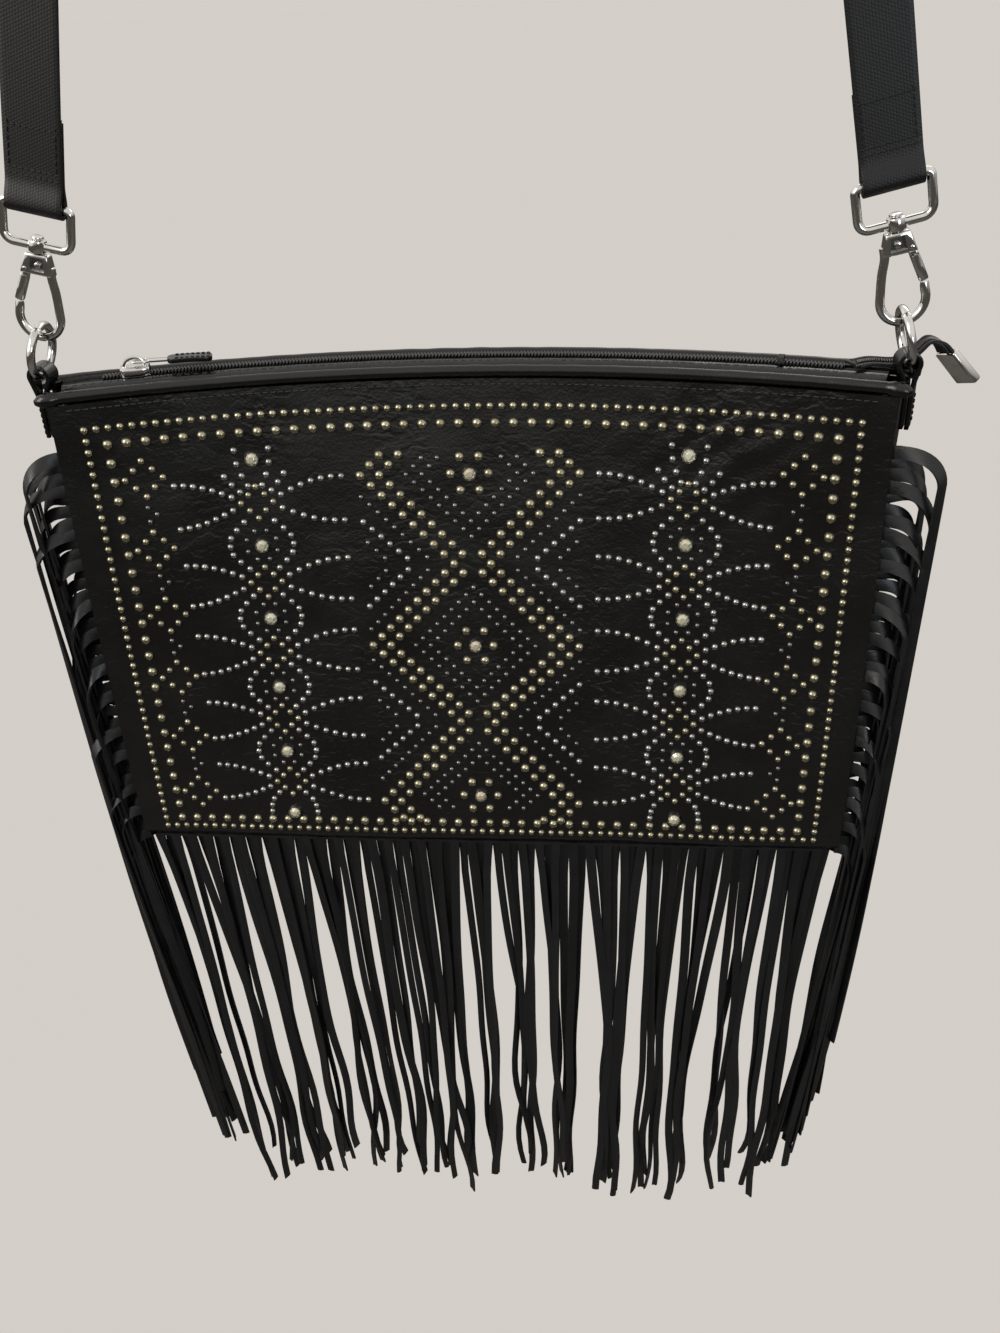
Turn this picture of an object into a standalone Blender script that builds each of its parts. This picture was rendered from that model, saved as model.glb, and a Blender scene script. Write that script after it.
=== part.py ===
"""Fringed crossbody bag that hangs by its webbing strap.

Metres, +Z up. The origin is the place where a peg holds the strap: the underside of
the webbing at the top of its loop. The bag's front faces -Y.
"""

import math
import random

import bmesh
import bpy
from mathutils import Vector

# General clearances and stock
GAP = 0.0003                 # between pieces that lie against each other
LEATHER = 0.0016             # panel, gusset and tab leather
SEED = 7                     # for the uneven ends of the fringe

# Bag body
PANEL_W = 0.305              # front panel, measured along the leather
PANEL_H = 0.198
DEPTH_TOP = 0.024            # front face to back face at the mouth
DEPTH_BOTTOM = 0.030
BOW = 0.026                  # how far the middle of the mouth sags back
LEAN_FORWARD = 0.010         # bottom of the front panel, in front of its top corners
PIPING_R = 0.0022
PIPING_OVERHANG = 0.004      # piping past each top corner

# Mouth and zip
RIDGE = 0.005                # zip above the top edge of the panels
FACING_T = 0.0014
FACING_RISE = 0.0008         # outer edge of the facing above the panels
ZIP_SLOT = 0.0060            # between the two facings, where the zip shows
TAPE_T = 0.0007
TAPE_UNDER = 0.0030          # tape that lies under each facing
TAPE_SPLIT = 0.0006          # between the two tapes, under the chain
MOUTH_INSET = 0.0055         # facings and tapes end this far inside each top corner
CHAIN_W = 0.0046
CHAIN_H = 0.0019
CHAIN_SHARE = 0.87           # share of the mouth that the chain spans
SLIDER_L = 0.0105
SLIDER_WALL = 0.0011
SLIDER_AT = 0.012            # centre of the slider from the chain's left end
STOP_AT = 0.022              # bar tack that stops the slider, from the chain's right end
STOP_L = 0.0020
STOP_RISE = 0.0005           # bar tack above and beside the chain
BAIL_H = 0.0042
BAIL_T = 0.0012
BAIL_W = 0.0016
BAIL_SUNK = 0.0006           # foot of the bail inside the slider's roof
PULL_SIDE = 0.0009           # metal on each side of the pull's window
PULL_PLAY = 0.0004           # window beside the bail
PULL_L = 0.0085
PULL_T = 0.0010
PULL_TAB_W = 0.0065
PULL_TAB_L = 0.014
PULL_TAB_T = 0.0018

# Strap and hardware, measured along the leg of the strap
LEG_LEAN = math.radians(13.5)
STRAP_W = 0.019
STRAP_T = 0.0014
PEG_R = 0.012                # curve of the webbing over the peg
FOLD_FLAP = 0.027            # sewn end of the webbing, above its fold
FOLD_TAPER = 0.008           # where the two layers close above the bar
WIRE_R = 0.0015              # eye, hook and ring wire
EYE_PLAY = 0.0006            # on each side of the webbing
EYE_H = 0.0163               # outer height
EYE_CORNER = 0.0035          # lower corner radius of the wire's centre line
EYE_TOP_CORNER = 0.0016      # upper one, beside the webbing
SWIVEL_BOSS_R = 0.0030
SWIVEL_BOSS_L = 0.0042
SWIVEL_PIN_R = 0.0011
SWIVEL_PLAY = 0.00025
SWIVEL_HEAD_R = 0.0021
SWIVEL_HEAD_T = 0.0009
HEAD_TOP_W = 0.0090
HEAD_LOW_W = 0.0120
HEAD_H = 0.0070
HEAD_T = 0.0046
HOOK_L = 0.0238              # from the bottom of the head to the outside of the bend
HOOK_R = 0.0073              # bend, to the wire's centre
HOOK_WRAP = math.radians(12) # bend beyond its half circle, at each end
GATE_T = 0.0015              # gate tongue in the head's slot
GATE_W = 0.0030
GATE_PIN_R = 0.0007
GATE_PLAY = 0.00012
HEAD_CHAMFER = 0.0009        # rounded edges of the head
GATE_SET = 0.0006            # gate's inner edge from the head's side and low edge
NOTCH_UP = 0.0133            # gate's tip above the outside of the bend
GATE_OPEN = math.radians(18)
GATE_TONGUE = 0.0012         # thin tongue below the head before the gate thickens
RING_R = 0.0090              # to the wire's centre
RING_PLAY = 0.0008           # between the ring and the bend that it hangs in
TAB_RISE = 0.0090            # ring's lower wire above the top of the panels
TAB_W = 0.0080
TAB_SEAT = 0.014             # tab sewn down the outside of the gusset

# Zip tail at the right end
TAIL_W = 0.0085
TAIL_T = 0.0011
CLIP_L = 0.014
CLIP_W = 0.0100
CLIP_T = 0.0030

# Fringe
FRINGE_T = 0.0009
FRINGE_LENGTH = 0.262
FRINGE_STRIP = 0.0046
FRINGE_PITCH = 0.0098
FRINGE_HEADER = 0.0060
FRINGE_LAYER = 0.0016        # from one layer of the bottom fringe to the next
FRINGE_BUNCH = 0.0036        # how far the strips draw together at their ends
FRINGE_BUNCH_PITCH = 0.055
FRINGE_UNEVEN = 0.10         # share by which a strip may be short
SIDE_STRIPS = 20
SIDE_STRIP_W = 0.0036
SIDE_HEADER = 0.0035
SIDE_CLEAR = 0.0030          # from the bag to the strip that hangs closest
SIDE_STEP = 0.0010           # from one hanging strip to the next one out
SIDE_FALL = 0.016            # drop in which a strip turns down
SIDE_LENGTH = 0.238
SIDE_TURN = 0.45             # share of the strip's steps in which it turns down

# Studs and crystals on the front panel
STUD_W = 0.0038
STUD_H = 0.0013
STUD_SUNK = 0.0006
STUD_SIDES = 6
STUD_COLUMNS = 40            # of the border
STUD_ROWS = 24
STUD_SIDE = 0.0182           # border in from the panel's sides
STUD_LOW = 0.0125            # border up from the panel's bottom
STUD_HIGH = 0.0160           # border down from the panel's top
ZIGZAG_OUT = 0.0420          # outward and inward turns from the panel's middle
ZIGZAG_IN = 0.0073
ZIGZAG_LOW = 0.0225
ZIGZAG_HIGH = 0.0345
ZIGZAG_LEGS = 4
ZIGZAG_STEPS = 9             # studs in one leg
CRYSTAL_W = 0.0053
CRYSTAL_H = 0.0018
CRYSTAL_FLAT = 0.6           # share of its width left flat on top
CRYSTAL_OUT = 0.0825         # two columns of crystals, each side of the middle
CRYSTAL_ROWS = 6
CRYSTAL_LOW = 0.0164
CRYSTAL_HIGH = 0.0260

# Facets
ARC_STEPS = 20               # along the panels
PANEL_ROWS = 4
STRIP_STEPS = 4              # along a hanging strip
SIDE_STEPS = 7               # along a strip of the side fringe
WIRE_SIDES = 8
ROUND_STEPS = 24


def half_angle(share):
    """Radius and half angle of the arc that a level of the panel follows."""
    sag = BOW * max(share, 0.01)
    slope = sag / (PANEL_W / 2)
    angle = 2 * slope
    for _ in range(20):
        angle = slope * angle * angle / (1 - math.cos(angle))
    return (PANEL_W / 2) / angle, angle


TOP_RADIUS, TOP_ANGLE = half_angle(1.0)
SEAT_OUT = 1.5 * GAP + LEATHER           # between the tab's two layers, off the gusset
FRONT_TOP_Y = SEAT_OUT * math.sin(TOP_ANGLE) - DEPTH_TOP / 2 * math.cos(TOP_ANGLE)
FRONT_BOTTOM_Y = FRONT_TOP_Y - LEAN_FORWARD
ARC_CENTRE_Y = FRONT_TOP_Y - TOP_RADIUS * math.cos(TOP_ANGLE)
CHAIN_RADIUS = TOP_RADIUS + DEPTH_TOP / 2
SIDE_X = CHAIN_RADIUS * math.sin(TOP_ANGLE)
TAB_X = SIDE_X + SEAT_OUT * math.cos(TOP_ANGLE)

# Stations along the leg, from the bar in the webbing's fold downwards
EYE_W = STRAP_W + 2 * EYE_PLAY + 4 * WIRE_R
BAR_BORE = WIRE_R + GAP
EYE_LOW = EYE_H - 2 * WIRE_R
HEAD_TOP_AT = EYE_LOW + SWIVEL_BOSS_L / 2 + GAP
HEAD_LOW_AT = HEAD_TOP_AT + HEAD_H
BEND_AT = HEAD_LOW_AT + HOOK_L - WIRE_R
NOTCH_AT = BEND_AT + WIRE_R - NOTCH_UP
RING_AT = BEND_AT - 2 * WIRE_R - RING_PLAY + RING_R
RING_LOW_AT = RING_AT + RING_R
CORNER_AT = RING_LOW_AT + TAB_RISE
RING_RISE = RING_R - math.sqrt(RING_R ** 2 - (TAB_W / 2) ** 2)
TAB_BORE = WIRE_R + RING_RISE + GAP      # inside the tab's fold, round the curved wire

# The legs meet above the peg: the webbing rounds the peg below that point
LEG_PEAK = (PEG_R + STRAP_T / 2) / math.sin(LEG_LEAN) - PEG_R
TOP_Z = LEG_PEAK - TAB_X / math.tan(LEG_LEAN)
BOTTOM_Z = TOP_Z - PANEL_H


def place(share_x, share_z, depth, rise=0.0):
    """A point of the bag: across, up, behind the front face, and raised."""
    radius, angle = half_angle(share_z)
    turn = share_x * angle
    front = FRONT_BOTTOM_Y + (FRONT_TOP_Y - FRONT_BOTTOM_Y) * share_z
    return Vector((
        (radius + depth) * math.sin(turn),
        front + (radius + depth) * math.cos(turn) - radius * math.cos(angle),
        BOTTOM_Z + share_z * PANEL_H + rise,
    ))


def depth_at(share_z):
    return DEPTH_BOTTOM + (DEPTH_TOP - DEPTH_BOTTOM) * share_z


def leg_point(side, along, across=0.0, y=0.0):
    """A point by a strap leg: along it downwards from the fold bar, across it outwards."""
    corner = Vector((side * TAB_X, 0, TOP_Z))
    up = Vector((-side * math.sin(LEG_LEAN), 0, math.cos(LEG_LEAN)))
    out = Vector((side * math.cos(LEG_LEAN), 0, math.sin(LEG_LEAN)))
    return corner + up * (CORNER_AT - along) + out * across + Vector((0, y, 0))


def leg_axes(side):
    """Across, front-to-back and upward unit vectors of a leg, as a right-handed set."""
    up = Vector((-side * math.sin(LEG_LEAN), 0, math.cos(LEG_LEAN)))
    across = Vector((math.cos(LEG_LEAN), 0, side * math.sin(LEG_LEAN)))
    return across, Vector((0, 1, 0)), up


def finish(name, bm, material, smooth=35.0):
    """Make an object of a bmesh, with its faces turned outwards."""
    bmesh.ops.recalc_face_normals(bm, faces=bm.faces)
    mesh = bpy.data.meshes.new(name)
    bm.to_mesh(mesh)
    bm.free()
    mesh.shade_smooth()
    mesh.set_sharp_from_angle(angle=math.radians(smooth))
    mesh.materials.append(material)
    piece = bpy.data.objects.new(name, mesh)
    bpy.context.scene.collection.objects.link(piece)
    return piece


def add_loft(bm, rings, closed=False):
    """Skin a row of equal rings of points; cap the two ends unless it closes on itself."""
    rows = [[bm.verts.new(point) for point in ring] for ring in rings]
    count = len(rows[0])
    pairs = list(zip(rows, rows[1:]))
    if closed:
        pairs.append((rows[-1], rows[0]))
    for one, two in pairs:
        for i in range(count):
            j = (i + 1) % count
            bm.faces.new((one[i], one[j], two[j], two[i]))
    if not closed:
        bm.faces.new(rows[0][::-1])
        bm.faces.new(rows[-1])


def loft(name, rings, material, closed=False, smooth=35.0):
    bm = bmesh.new()
    add_loft(bm, rings, closed)
    return finish(name, bm, material, smooth)


def slab(name, columns, rows, outer, inner, material):
    """A sheet with thickness between two surfaces that are read at shares 0 to 1."""
    bm = bmesh.new()
    skins = []
    for surface in (outer, inner):
        skins.append([[bm.verts.new(surface(i / columns, j / rows))
                       for j in range(rows + 1)] for i in range(columns + 1)])
    for skin in skins:
        for i in range(columns):
            for j in range(rows):
                bm.faces.new((skin[i][j], skin[i + 1][j], skin[i + 1][j + 1], skin[i][j + 1]))
    one, two = skins
    for i in range(columns):
        for j in (0, rows):
            bm.faces.new((one[i][j], one[i + 1][j], two[i + 1][j], two[i][j]))
    for j in range(rows):
        for i in (0, columns):
            bm.faces.new((one[i][j], one[i][j + 1], two[i][j + 1], two[i][j]))
    return finish(name, bm, material)


def wire_rings(path, radius, closed=False, sides=WIRE_SIDES, side_hint=Vector((0, 1, 0))):
    """Round rings about a plane path whose plane's normal is side_hint."""
    rings = []
    last = len(path) - 1
    for i, point in enumerate(path):
        before = path[i - 1] if (i or closed) else point
        after = path[(i + 1) % len(path)] if (i < last or closed) else point
        along = (after - before).normalized()
        other = along.cross(side_hint).normalized()
        rings.append([point + (other * math.cos(a) + side_hint * math.sin(a)) * radius
                      for a in (2 * math.pi * k / sides for k in range(sides))])
    return rings


def ribbon_rings(path, widths, width, thickness):
    """Flat rings about a path: widths gives the direction across the ribbon."""
    rings = []
    last = len(path) - 1
    for i, point in enumerate(path):
        along = (path[min(i + 1, last)] - path[max(i - 1, 0)]).normalized()
        across = (widths[i] - along * widths[i].dot(along)).normalized()
        face = along.cross(across)
        half, thin = across * width / 2, face * thickness / 2
        rings.append([point - half - thin, point + half - thin,
                      point + half + thin, point - half + thin])
    return rings


def rounded_rectangle(width, height, corner, steps, upper=None):
    """Points of a rounded rectangle about the origin, anticlockwise; upper corners may differ."""
    points = []
    for k, (sx, sy) in enumerate(((1, 1), (-1, 1), (-1, -1), (1, -1))):
        r = upper if upper and sy > 0 else corner
        cx, cy = sx * (width / 2 - r), sy * (height / 2 - r)
        for i in range(steps + 1):
            a = math.pi / 2 * (k + i / steps)
            points.append((cx + r * math.cos(a), cy + r * math.sin(a)))
    return points


def arc_profile(name, outline, material, from_share=-1.0, to_share=1.0, steps=ARC_STEPS):
    """Sweep an outline of (depth, rise) points along the mouth of the bag."""
    rings = []
    for i in range(steps + 1):
        share = from_share + (to_share - from_share) * i / steps
        rings.append([place(share, 1.0, depth, rise) for depth, rise in outline])
    return loft(name, rings, material)


def cut(piece, cutter):
    """Subtract a cutter with an exact Boolean and keep the cutter as a guide."""
    step = piece.modifiers.new("cut_" + cutter.name, "BOOLEAN")
    step.operation = "DIFFERENCE"
    step.solver = "EXACT"
    step.object = cutter
    cutter.hide_render = True
    cutter.display_type = "WIRE"


def join(piece, part):
    """Unite two solids with an exact Boolean and keep the second as a guide."""
    step = piece.modifiers.new("join_" + part.name, "BOOLEAN")
    step.operation = "UNION"
    step.solver = "EXACT"
    step.object = part
    part.hide_render = True
    part.display_type = "WIRE"


def rod(name, start, end, radius, material, sides=WIRE_SIDES):
    """A round bar between two points."""
    along = (end - start).normalized()
    hint = Vector((0, 1, 0)) if abs(along.y) < 0.9 else Vector((1, 0, 0))
    other = along.cross(hint).normalized()
    third = along.cross(other)
    rings = [[centre + (other * math.cos(a) + third * math.sin(a)) * radius
              for a in (2 * math.pi * k / sides for k in range(sides))]
             for centre in (start, end)]
    return loft(name, rings, material)


def make_material(name, colour, roughness, metallic=0.0):
    material = bpy.data.materials.new(name)
    material.use_nodes = True
    shader = material.node_tree.nodes["Principled BSDF"]
    shader.inputs["Base Color"].default_value = (*colour, 1.0)
    shader.inputs["Roughness"].default_value = roughness
    shader.inputs["Metallic"].default_value = metallic
    material.diffuse_color = (*colour, 1.0)
    return material


def stud_places():
    """Places of the large studs on the front panel: across from its middle, up from its bottom."""
    across, top = PANEL_W / 2 - STUD_SIDE, PANEL_H - STUD_HIGH
    places = []
    for i in range(STUD_COLUMNS):
        x = across * (2 * i / (STUD_COLUMNS - 1) - 1)
        places += [(x, STUD_LOW), (x, top)]
    for j in range(1, STUD_ROWS - 1):
        z = STUD_LOW + (top - STUD_LOW) * j / (STUD_ROWS - 1)
        places += [(-across, z), (across, z)]
    turns = [ZIGZAG_OUT if leg % 2 == 0 else ZIGZAG_IN for leg in range(ZIGZAG_LEGS + 1)]
    count = ZIGZAG_LEGS * ZIGZAG_STEPS
    for i in range(count + 1):
        leg, step = divmod(i, ZIGZAG_STEPS)
        leg = min(leg, ZIGZAG_LEGS - 1)
        share = i / ZIGZAG_STEPS - leg
        x = turns[leg] + (turns[leg + 1] - turns[leg]) * share
        z = ZIGZAG_LOW + (PANEL_H - ZIGZAG_HIGH - ZIGZAG_LOW) * i / count
        places += [(-x, z), (x, z)]
    return places


def crystal_places():
    """Places of the set crystals: two columns, and one between the zigzags at each outward turn."""
    rise = PANEL_H - CRYSTAL_HIGH - CRYSTAL_LOW
    places = []
    for j in range(CRYSTAL_ROWS):
        z = CRYSTAL_LOW + rise * j / (CRYSTAL_ROWS - 1)
        places += [(-CRYSTAL_OUT, z), (CRYSTAL_OUT, z)]
    for leg in range(0, ZIGZAG_LEGS + 1, 2):
        places.append((0, ZIGZAG_LOW + (PANEL_H - ZIGZAG_HIGH - ZIGZAG_LOW) * leg / ZIGZAG_LEGS))
    return places


def raised(name, places, width, height, flat, material):
    """Many small cones that stand out of the front panel; flat is the share left flat on top."""
    bm = bmesh.new()
    for x, z in places:
        foot, brow = [], []
        for k in range(STUD_SIDES):
            turn = 2 * math.pi * k / STUD_SIDES
            for ring, share, depth in ((foot, 1, STUD_SUNK), (brow, flat, -height)):
                ring.append(place((x + width / 2 * share * math.cos(turn)) / (PANEL_W / 2),
                                  (z + width / 2 * share * math.sin(turn)) / PANEL_H, depth))
        if flat:
            add_loft(bm, [foot, brow])
            continue
        foot = [bm.verts.new(point) for point in foot]
        tip = bm.verts.new(place(x / (PANEL_W / 2), z / PANEL_H, -height))
        bm.faces.new(foot[::-1])
        for k in range(STUD_SIDES):
            bm.faces.new((foot[k], foot[(k + 1) % STUD_SIDES], tip))
    return finish(name, bm, material)


def make_panels(leather):
    """Front and back panels, each one bowed sheet, with the front's raised studs and crystals."""
    front = slab("front_panel", ARC_STEPS, PANEL_ROWS,
                 lambda a, b: place(2 * a - 1, b, 0),
                 lambda a, b: place(2 * a - 1, b, LEATHER), leather)
    join(front, raised("front_studs", stud_places(), STUD_W, STUD_H, 0, leather))
    join(front, raised("front_crystals", crystal_places(), CRYSTAL_W, CRYSTAL_H, CRYSTAL_FLAT, leather))
    slab("back_panel", ARC_STEPS, PANEL_ROWS,
         lambda a, b: place(2 * a - 1, b, depth_at(b)),
         lambda a, b: place(2 * a - 1, b, depth_at(b) - LEATHER), leather)


def make_gusset(leather):
    """One strip down the left side, along the bottom and up the right side."""
    low = LEATHER / PANEL_H
    inset = 1 - LEATHER / (PANEL_W / 2)
    side_steps, low_steps = PANEL_ROWS, ARC_STEPS
    stations = []
    for i in range(side_steps + 1):
        share = 1 - i / side_steps
        stations.append(((-1, share), (-inset, low + (1 - low) * share)))
    for i in range(1, low_steps):
        share = -1 + 2 * i / low_steps
        stations.append(((share, 0), (share * inset, low)))
    for i in range(side_steps + 1):
        share = i / side_steps
        stations.append(((1, share), (inset, low + (1 - low) * share)))
    rings = []
    for outer, inner in stations:
        ring = []
        for (x, z), near in ((outer, True), (outer, False), (inner, False), (inner, True)):
            depth = LEATHER + GAP if near else depth_at(z) - LEATHER - GAP
            ring.append(place(x, z, depth))
        rings.append(ring)
    loft("gusset", rings, leather, smooth=25)


def make_mouth(leather, tape, chain_metal):
    """Piping, facings, zip tapes and the closed chain, all on the bow of the mouth."""
    middle = DEPTH_TOP / 2
    piping_depth = PIPING_R - LEATHER / 2
    over = 1 + PIPING_OVERHANG / (PANEL_W / 2)
    within = 1 - MOUTH_INSET / (PANEL_W / 2)
    circle = [(math.cos(a) * PIPING_R, math.sin(a) * PIPING_R)
              for a in (2 * math.pi * k / 8 for k in range(8))]
    edge = piping_depth + PIPING_R + GAP
    slope = (RIDGE - FACING_RISE) / (middle - edge)

    def line(depth):
        return FACING_RISE + slope * (depth - edge)

    facing_end = middle - ZIP_SLOT / 2
    tape_start = facing_end - TAPE_UNDER
    tape_end = middle - TAPE_SPLIT / 2
    facing = [(edge, line(edge)), (facing_end, line(facing_end)),
              (facing_end, line(facing_end) + FACING_T), (edge, line(edge) + FACING_T)]
    under = line(tape_start) - GAP, line(tape_end) - GAP
    zip_tape = [(tape_start, under[0] - TAPE_T), (tape_end, under[1] - TAPE_T),
                (tape_end, under[1]), (tape_start, under[0])]

    def mirrored(outline):
        return [(DEPTH_TOP - depth, rise) for depth, rise in outline][::-1]

    front_round = [(piping_depth + y, GAP + PIPING_R + z) for y, z in circle]
    arc_profile("front_piping", front_round, leather, -over, over)
    arc_profile("back_piping", mirrored(front_round), leather, -over, over)
    arc_profile("front_facing", facing, leather, -within, within)
    arc_profile("back_facing", mirrored(facing), leather, -within, within)
    arc_profile("front_zip_tape", zip_tape, tape, -within, within)
    arc_profile("back_zip_tape", mirrored(zip_tape), tape, -within, within)
    half = CHAIN_W / 2
    chain = [(middle - half, RIDGE + 0.25 * CHAIN_H), (middle - half * 0.7, RIDGE),
             (middle + half * 0.7, RIDGE), (middle + half, RIDGE + 0.25 * CHAIN_H),
             (middle + half, RIDGE + 0.7 * CHAIN_H), (middle + half * 0.6, RIDGE + CHAIN_H),
             (middle - half * 0.6, RIDGE + CHAIN_H), (middle - half, RIDGE + 0.7 * CHAIN_H)]
    arc_profile("zip_chain", chain, chain_metal, -CHAIN_SHARE, CHAIN_SHARE)
    near, far = middle - half - STOP_RISE, middle + half + STOP_RISE
    low, high = RIDGE + CHAIN_H + GAP, RIDGE + CHAIN_H + GAP + STOP_RISE
    stop = stop_angle() / TOP_ANGLE
    stop_half = STOP_L / 2 / CHAIN_RADIUS / TOP_ANGLE
    arc_profile("zip_stop", [(near, low), (far, low), (far, high), (near, high)], tape,
                stop - stop_half, stop + stop_half, 2)


def stop_angle():
    """Where the bar tack crosses the chain, as an angle on the arc of the mouth."""
    return TOP_ANGLE * CHAIN_SHARE - STOP_AT / CHAIN_RADIUS


def slider_frame():
    """Place of the slider: rest point on the chain's centre line, along and outward axes."""
    angle = -TOP_ANGLE * CHAIN_SHARE + SLIDER_AT / CHAIN_RADIUS
    centre = Vector((CHAIN_RADIUS * math.sin(angle),
                     ARC_CENTRE_Y + CHAIN_RADIUS * math.cos(angle), TOP_Z + RIDGE))
    along = Vector((math.cos(angle), -math.sin(angle), 0))
    outward = Vector((math.sin(angle), math.cos(angle), 0))
    return centre, along, outward


def pull_height():
    """The pull's pivot above the chain's centre line, under the crown of the bail."""
    return CHAIN_H + GAP + SLIDER_WALL - BAIL_SUNK + BAIL_H - BAIL_T - PULL_T / 2 - GAP


def pull_pivot():
    return slider_frame()[0] + Vector((0, 0, pull_height()))


def make_slider(nickel, leather):
    """Slider over the chain, its bail, the pull and the leather tab on the pull."""
    centre, along, outward = slider_frame()
    top = CHAIN_H + GAP

    def at(x, y, z):
        return centre + along * x + outward * y + Vector((0, 0, z))

    inner = CHAIN_W / 2 + GAP
    outer = inner + SLIDER_WALL
    roof = top + SLIDER_WALL
    eave = roof - SLIDER_WALL * 0.4
    rings = []
    for share, wide in ((-0.5, 0.80), (-0.38, 1.0), (0.10, 1.0), (0.38, 0.90), (0.5, 0.72)):
        x = share * SLIDER_L
        shoulder = inner + (outer - inner) * wide
        crown = outer * 0.62 * wide
        profile = ((-shoulder, 0), (-inner, 0), (-inner, top), (inner, top), (inner, 0),
                   (shoulder, 0), (shoulder, eave), (crown, roof), (-crown, roof), (-shoulder, eave))
        rings.append([at(x, y, z) for y, z in profile])
    slider = loft("zip_slider", rings, nickel, smooth=25)
    reach = SLIDER_L * 0.36
    arch = []
    steps = 8
    for i in range(steps + 1):
        turn = math.pi * i / steps
        height = (BAIL_H - BAIL_T / 2) * math.sin(turn)
        arch.append(at(-reach * math.cos(turn), 0, roof - BAIL_SUNK + height))
    bail = loft("slider_bail", ribbon_rings(arch, [outward] * len(arch), BAIL_W, BAIL_T), nickel)
    join(slider, bail)

    pivot_z = pull_height()
    window_end = reach + BAIL_T
    link_end = window_end + PULL_SIDE
    tab_end = link_end + PULL_L + PULL_TAB_L
    over_stop = CHAIN_H + 2 * GAP + STOP_RISE
    droop = math.asin((pivot_z - PULL_TAB_T / 2 - over_stop) / tab_end)

    def on_pull(x, y, z):
        """A point of the pull: along it from its pivot bar, across it and above it."""
        return at(x * math.cos(droop) + z * math.sin(droop), y,
                  pivot_z + z * math.cos(droop) - x * math.sin(droop))

    def plate(name, start, end, width, corner, thick, material):
        """A flat plate with rounded corners, from start to end along the pull."""
        outline = rounded_rectangle(end - start, width, corner, 2)
        middle = (start + end) / 2
        return loft(name, [[on_pull(middle + x, y, z) for x, y in outline]
                           for z in (-thick / 2, thick / 2)], material)

    window_w = BAIL_W + 2 * PULL_PLAY
    link_w = window_w + 2 * PULL_SIDE
    link = plate("zip_pull", -PULL_T / 2, link_end, link_w, PULL_SIDE, PULL_T, nickel)
    join(link, plate("zip_pull_stem", link_end - PULL_SIDE, link_end + PULL_L, link_w * 0.7,
                     PULL_SIDE / 2, PULL_T * 0.9, nickel))
    cut(link, plate("zip_pull_window", PULL_T / 2, window_end, window_w, PULL_PLAY / 2, PULL_T * 2, nickel))
    plate("zip_pull_tab", link_end + PULL_L + GAP, tab_end, PULL_TAB_W, PULL_TAB_W * 0.3,
          PULL_TAB_T, leather)


def make_strap(webbing):
    """The webbing as one ribbon: both sewn folds, both legs and the round over the peg."""
    closed_y = (STRAP_T + GAP) / 2
    bar_y = BAR_BORE + STRAP_T / 2

    def end_path(side):
        """From the cut end of the flap down, round the bar and up to the closed layers."""
        path = [leg_point(side, -FOLD_FLAP, y=closed_y), leg_point(side, -FOLD_FLAP / 2, y=closed_y),
                leg_point(side, -FOLD_TAPER, y=closed_y)]
        steps = 8
        for i in range(steps + 1):
            turn = math.pi * i / steps
            path.append(leg_point(side, bar_y * math.sin(turn), y=bar_y * math.cos(turn)))
        path.append(leg_point(side, -FOLD_TAPER, y=-closed_y))
        return path

    peg_path = []
    mid_r = PEG_R + STRAP_T / 2
    steps = 12
    for i in range(steps + 1):
        turn = (math.pi / 2 - LEG_LEAN) * (2 * i / steps - 1)
        peg_path.append(Vector((mid_r * math.sin(turn), 0, -PEG_R + mid_r * math.cos(turn))))

    def leg_path(side):
        """Straight from the closed layers up to the peg."""
        low = leg_point(side, -FOLD_TAPER, y=-closed_y)
        high = peg_path[0] if side < 0 else peg_path[-1]
        steps = 22
        return [low.lerp(high, i / steps) for i in range(1, steps)]

    left_end, left_leg = end_path(-1), leg_path(-1)
    right_end, right_leg = end_path(1), leg_path(1)
    path = left_end + left_leg + peg_path + right_leg[::-1] + right_end[::-1]

    def twist(share):
        """Quarter turn of the webbing between fold and peg."""
        t = min(max((share - 0.35) / 0.55, 0), 1)
        return t * t * (3 - 2 * t) * math.pi / 2

    widths = []
    for side, count, leg in ((-1, len(left_end), left_leg), (1, len(right_end), right_leg)):
        across, back, _ = leg_axes(side)
        turned = [across] * count
        for i in range(len(leg)):
            angle = twist((i + 1) / (len(leg) + 1))
            turned.append(across * math.cos(angle) + back * math.sin(angle))
        widths.append(turned)
    widths = widths[0] + [Vector((0, 1, 0))] * len(peg_path) + widths[1][::-1]
    loft("strap", ribbon_rings(path, widths, STRAP_W, STRAP_T), webbing, smooth=50)


def make_eye(side, word, nickel):
    """Square wire eye with the bored boss that the hook swivels in."""
    centre = EYE_LOW / 2
    outline = rounded_rectangle(EYE_W - 2 * WIRE_R, EYE_LOW, EYE_CORNER, 3, EYE_TOP_CORNER)
    path = [leg_point(side, centre - y, across=x) for x, y in outline]
    eye = loft(word + "_eye", wire_rings(path, WIRE_R, closed=True), nickel, closed=True)
    half = SWIVEL_BOSS_L / 2
    boss = rod(word + "_eye_boss", leg_point(side, EYE_LOW - half), leg_point(side, EYE_LOW + half),
               SWIVEL_BOSS_R, nickel, 12)
    bore = rod(word + "_eye_bore", leg_point(side, EYE_LOW - 2 * half), leg_point(side, EYE_LOW + 2 * half),
               SWIVEL_PIN_R + SWIVEL_PLAY, nickel, 12)
    join(eye, boss)
    cut(eye, bore)


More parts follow.
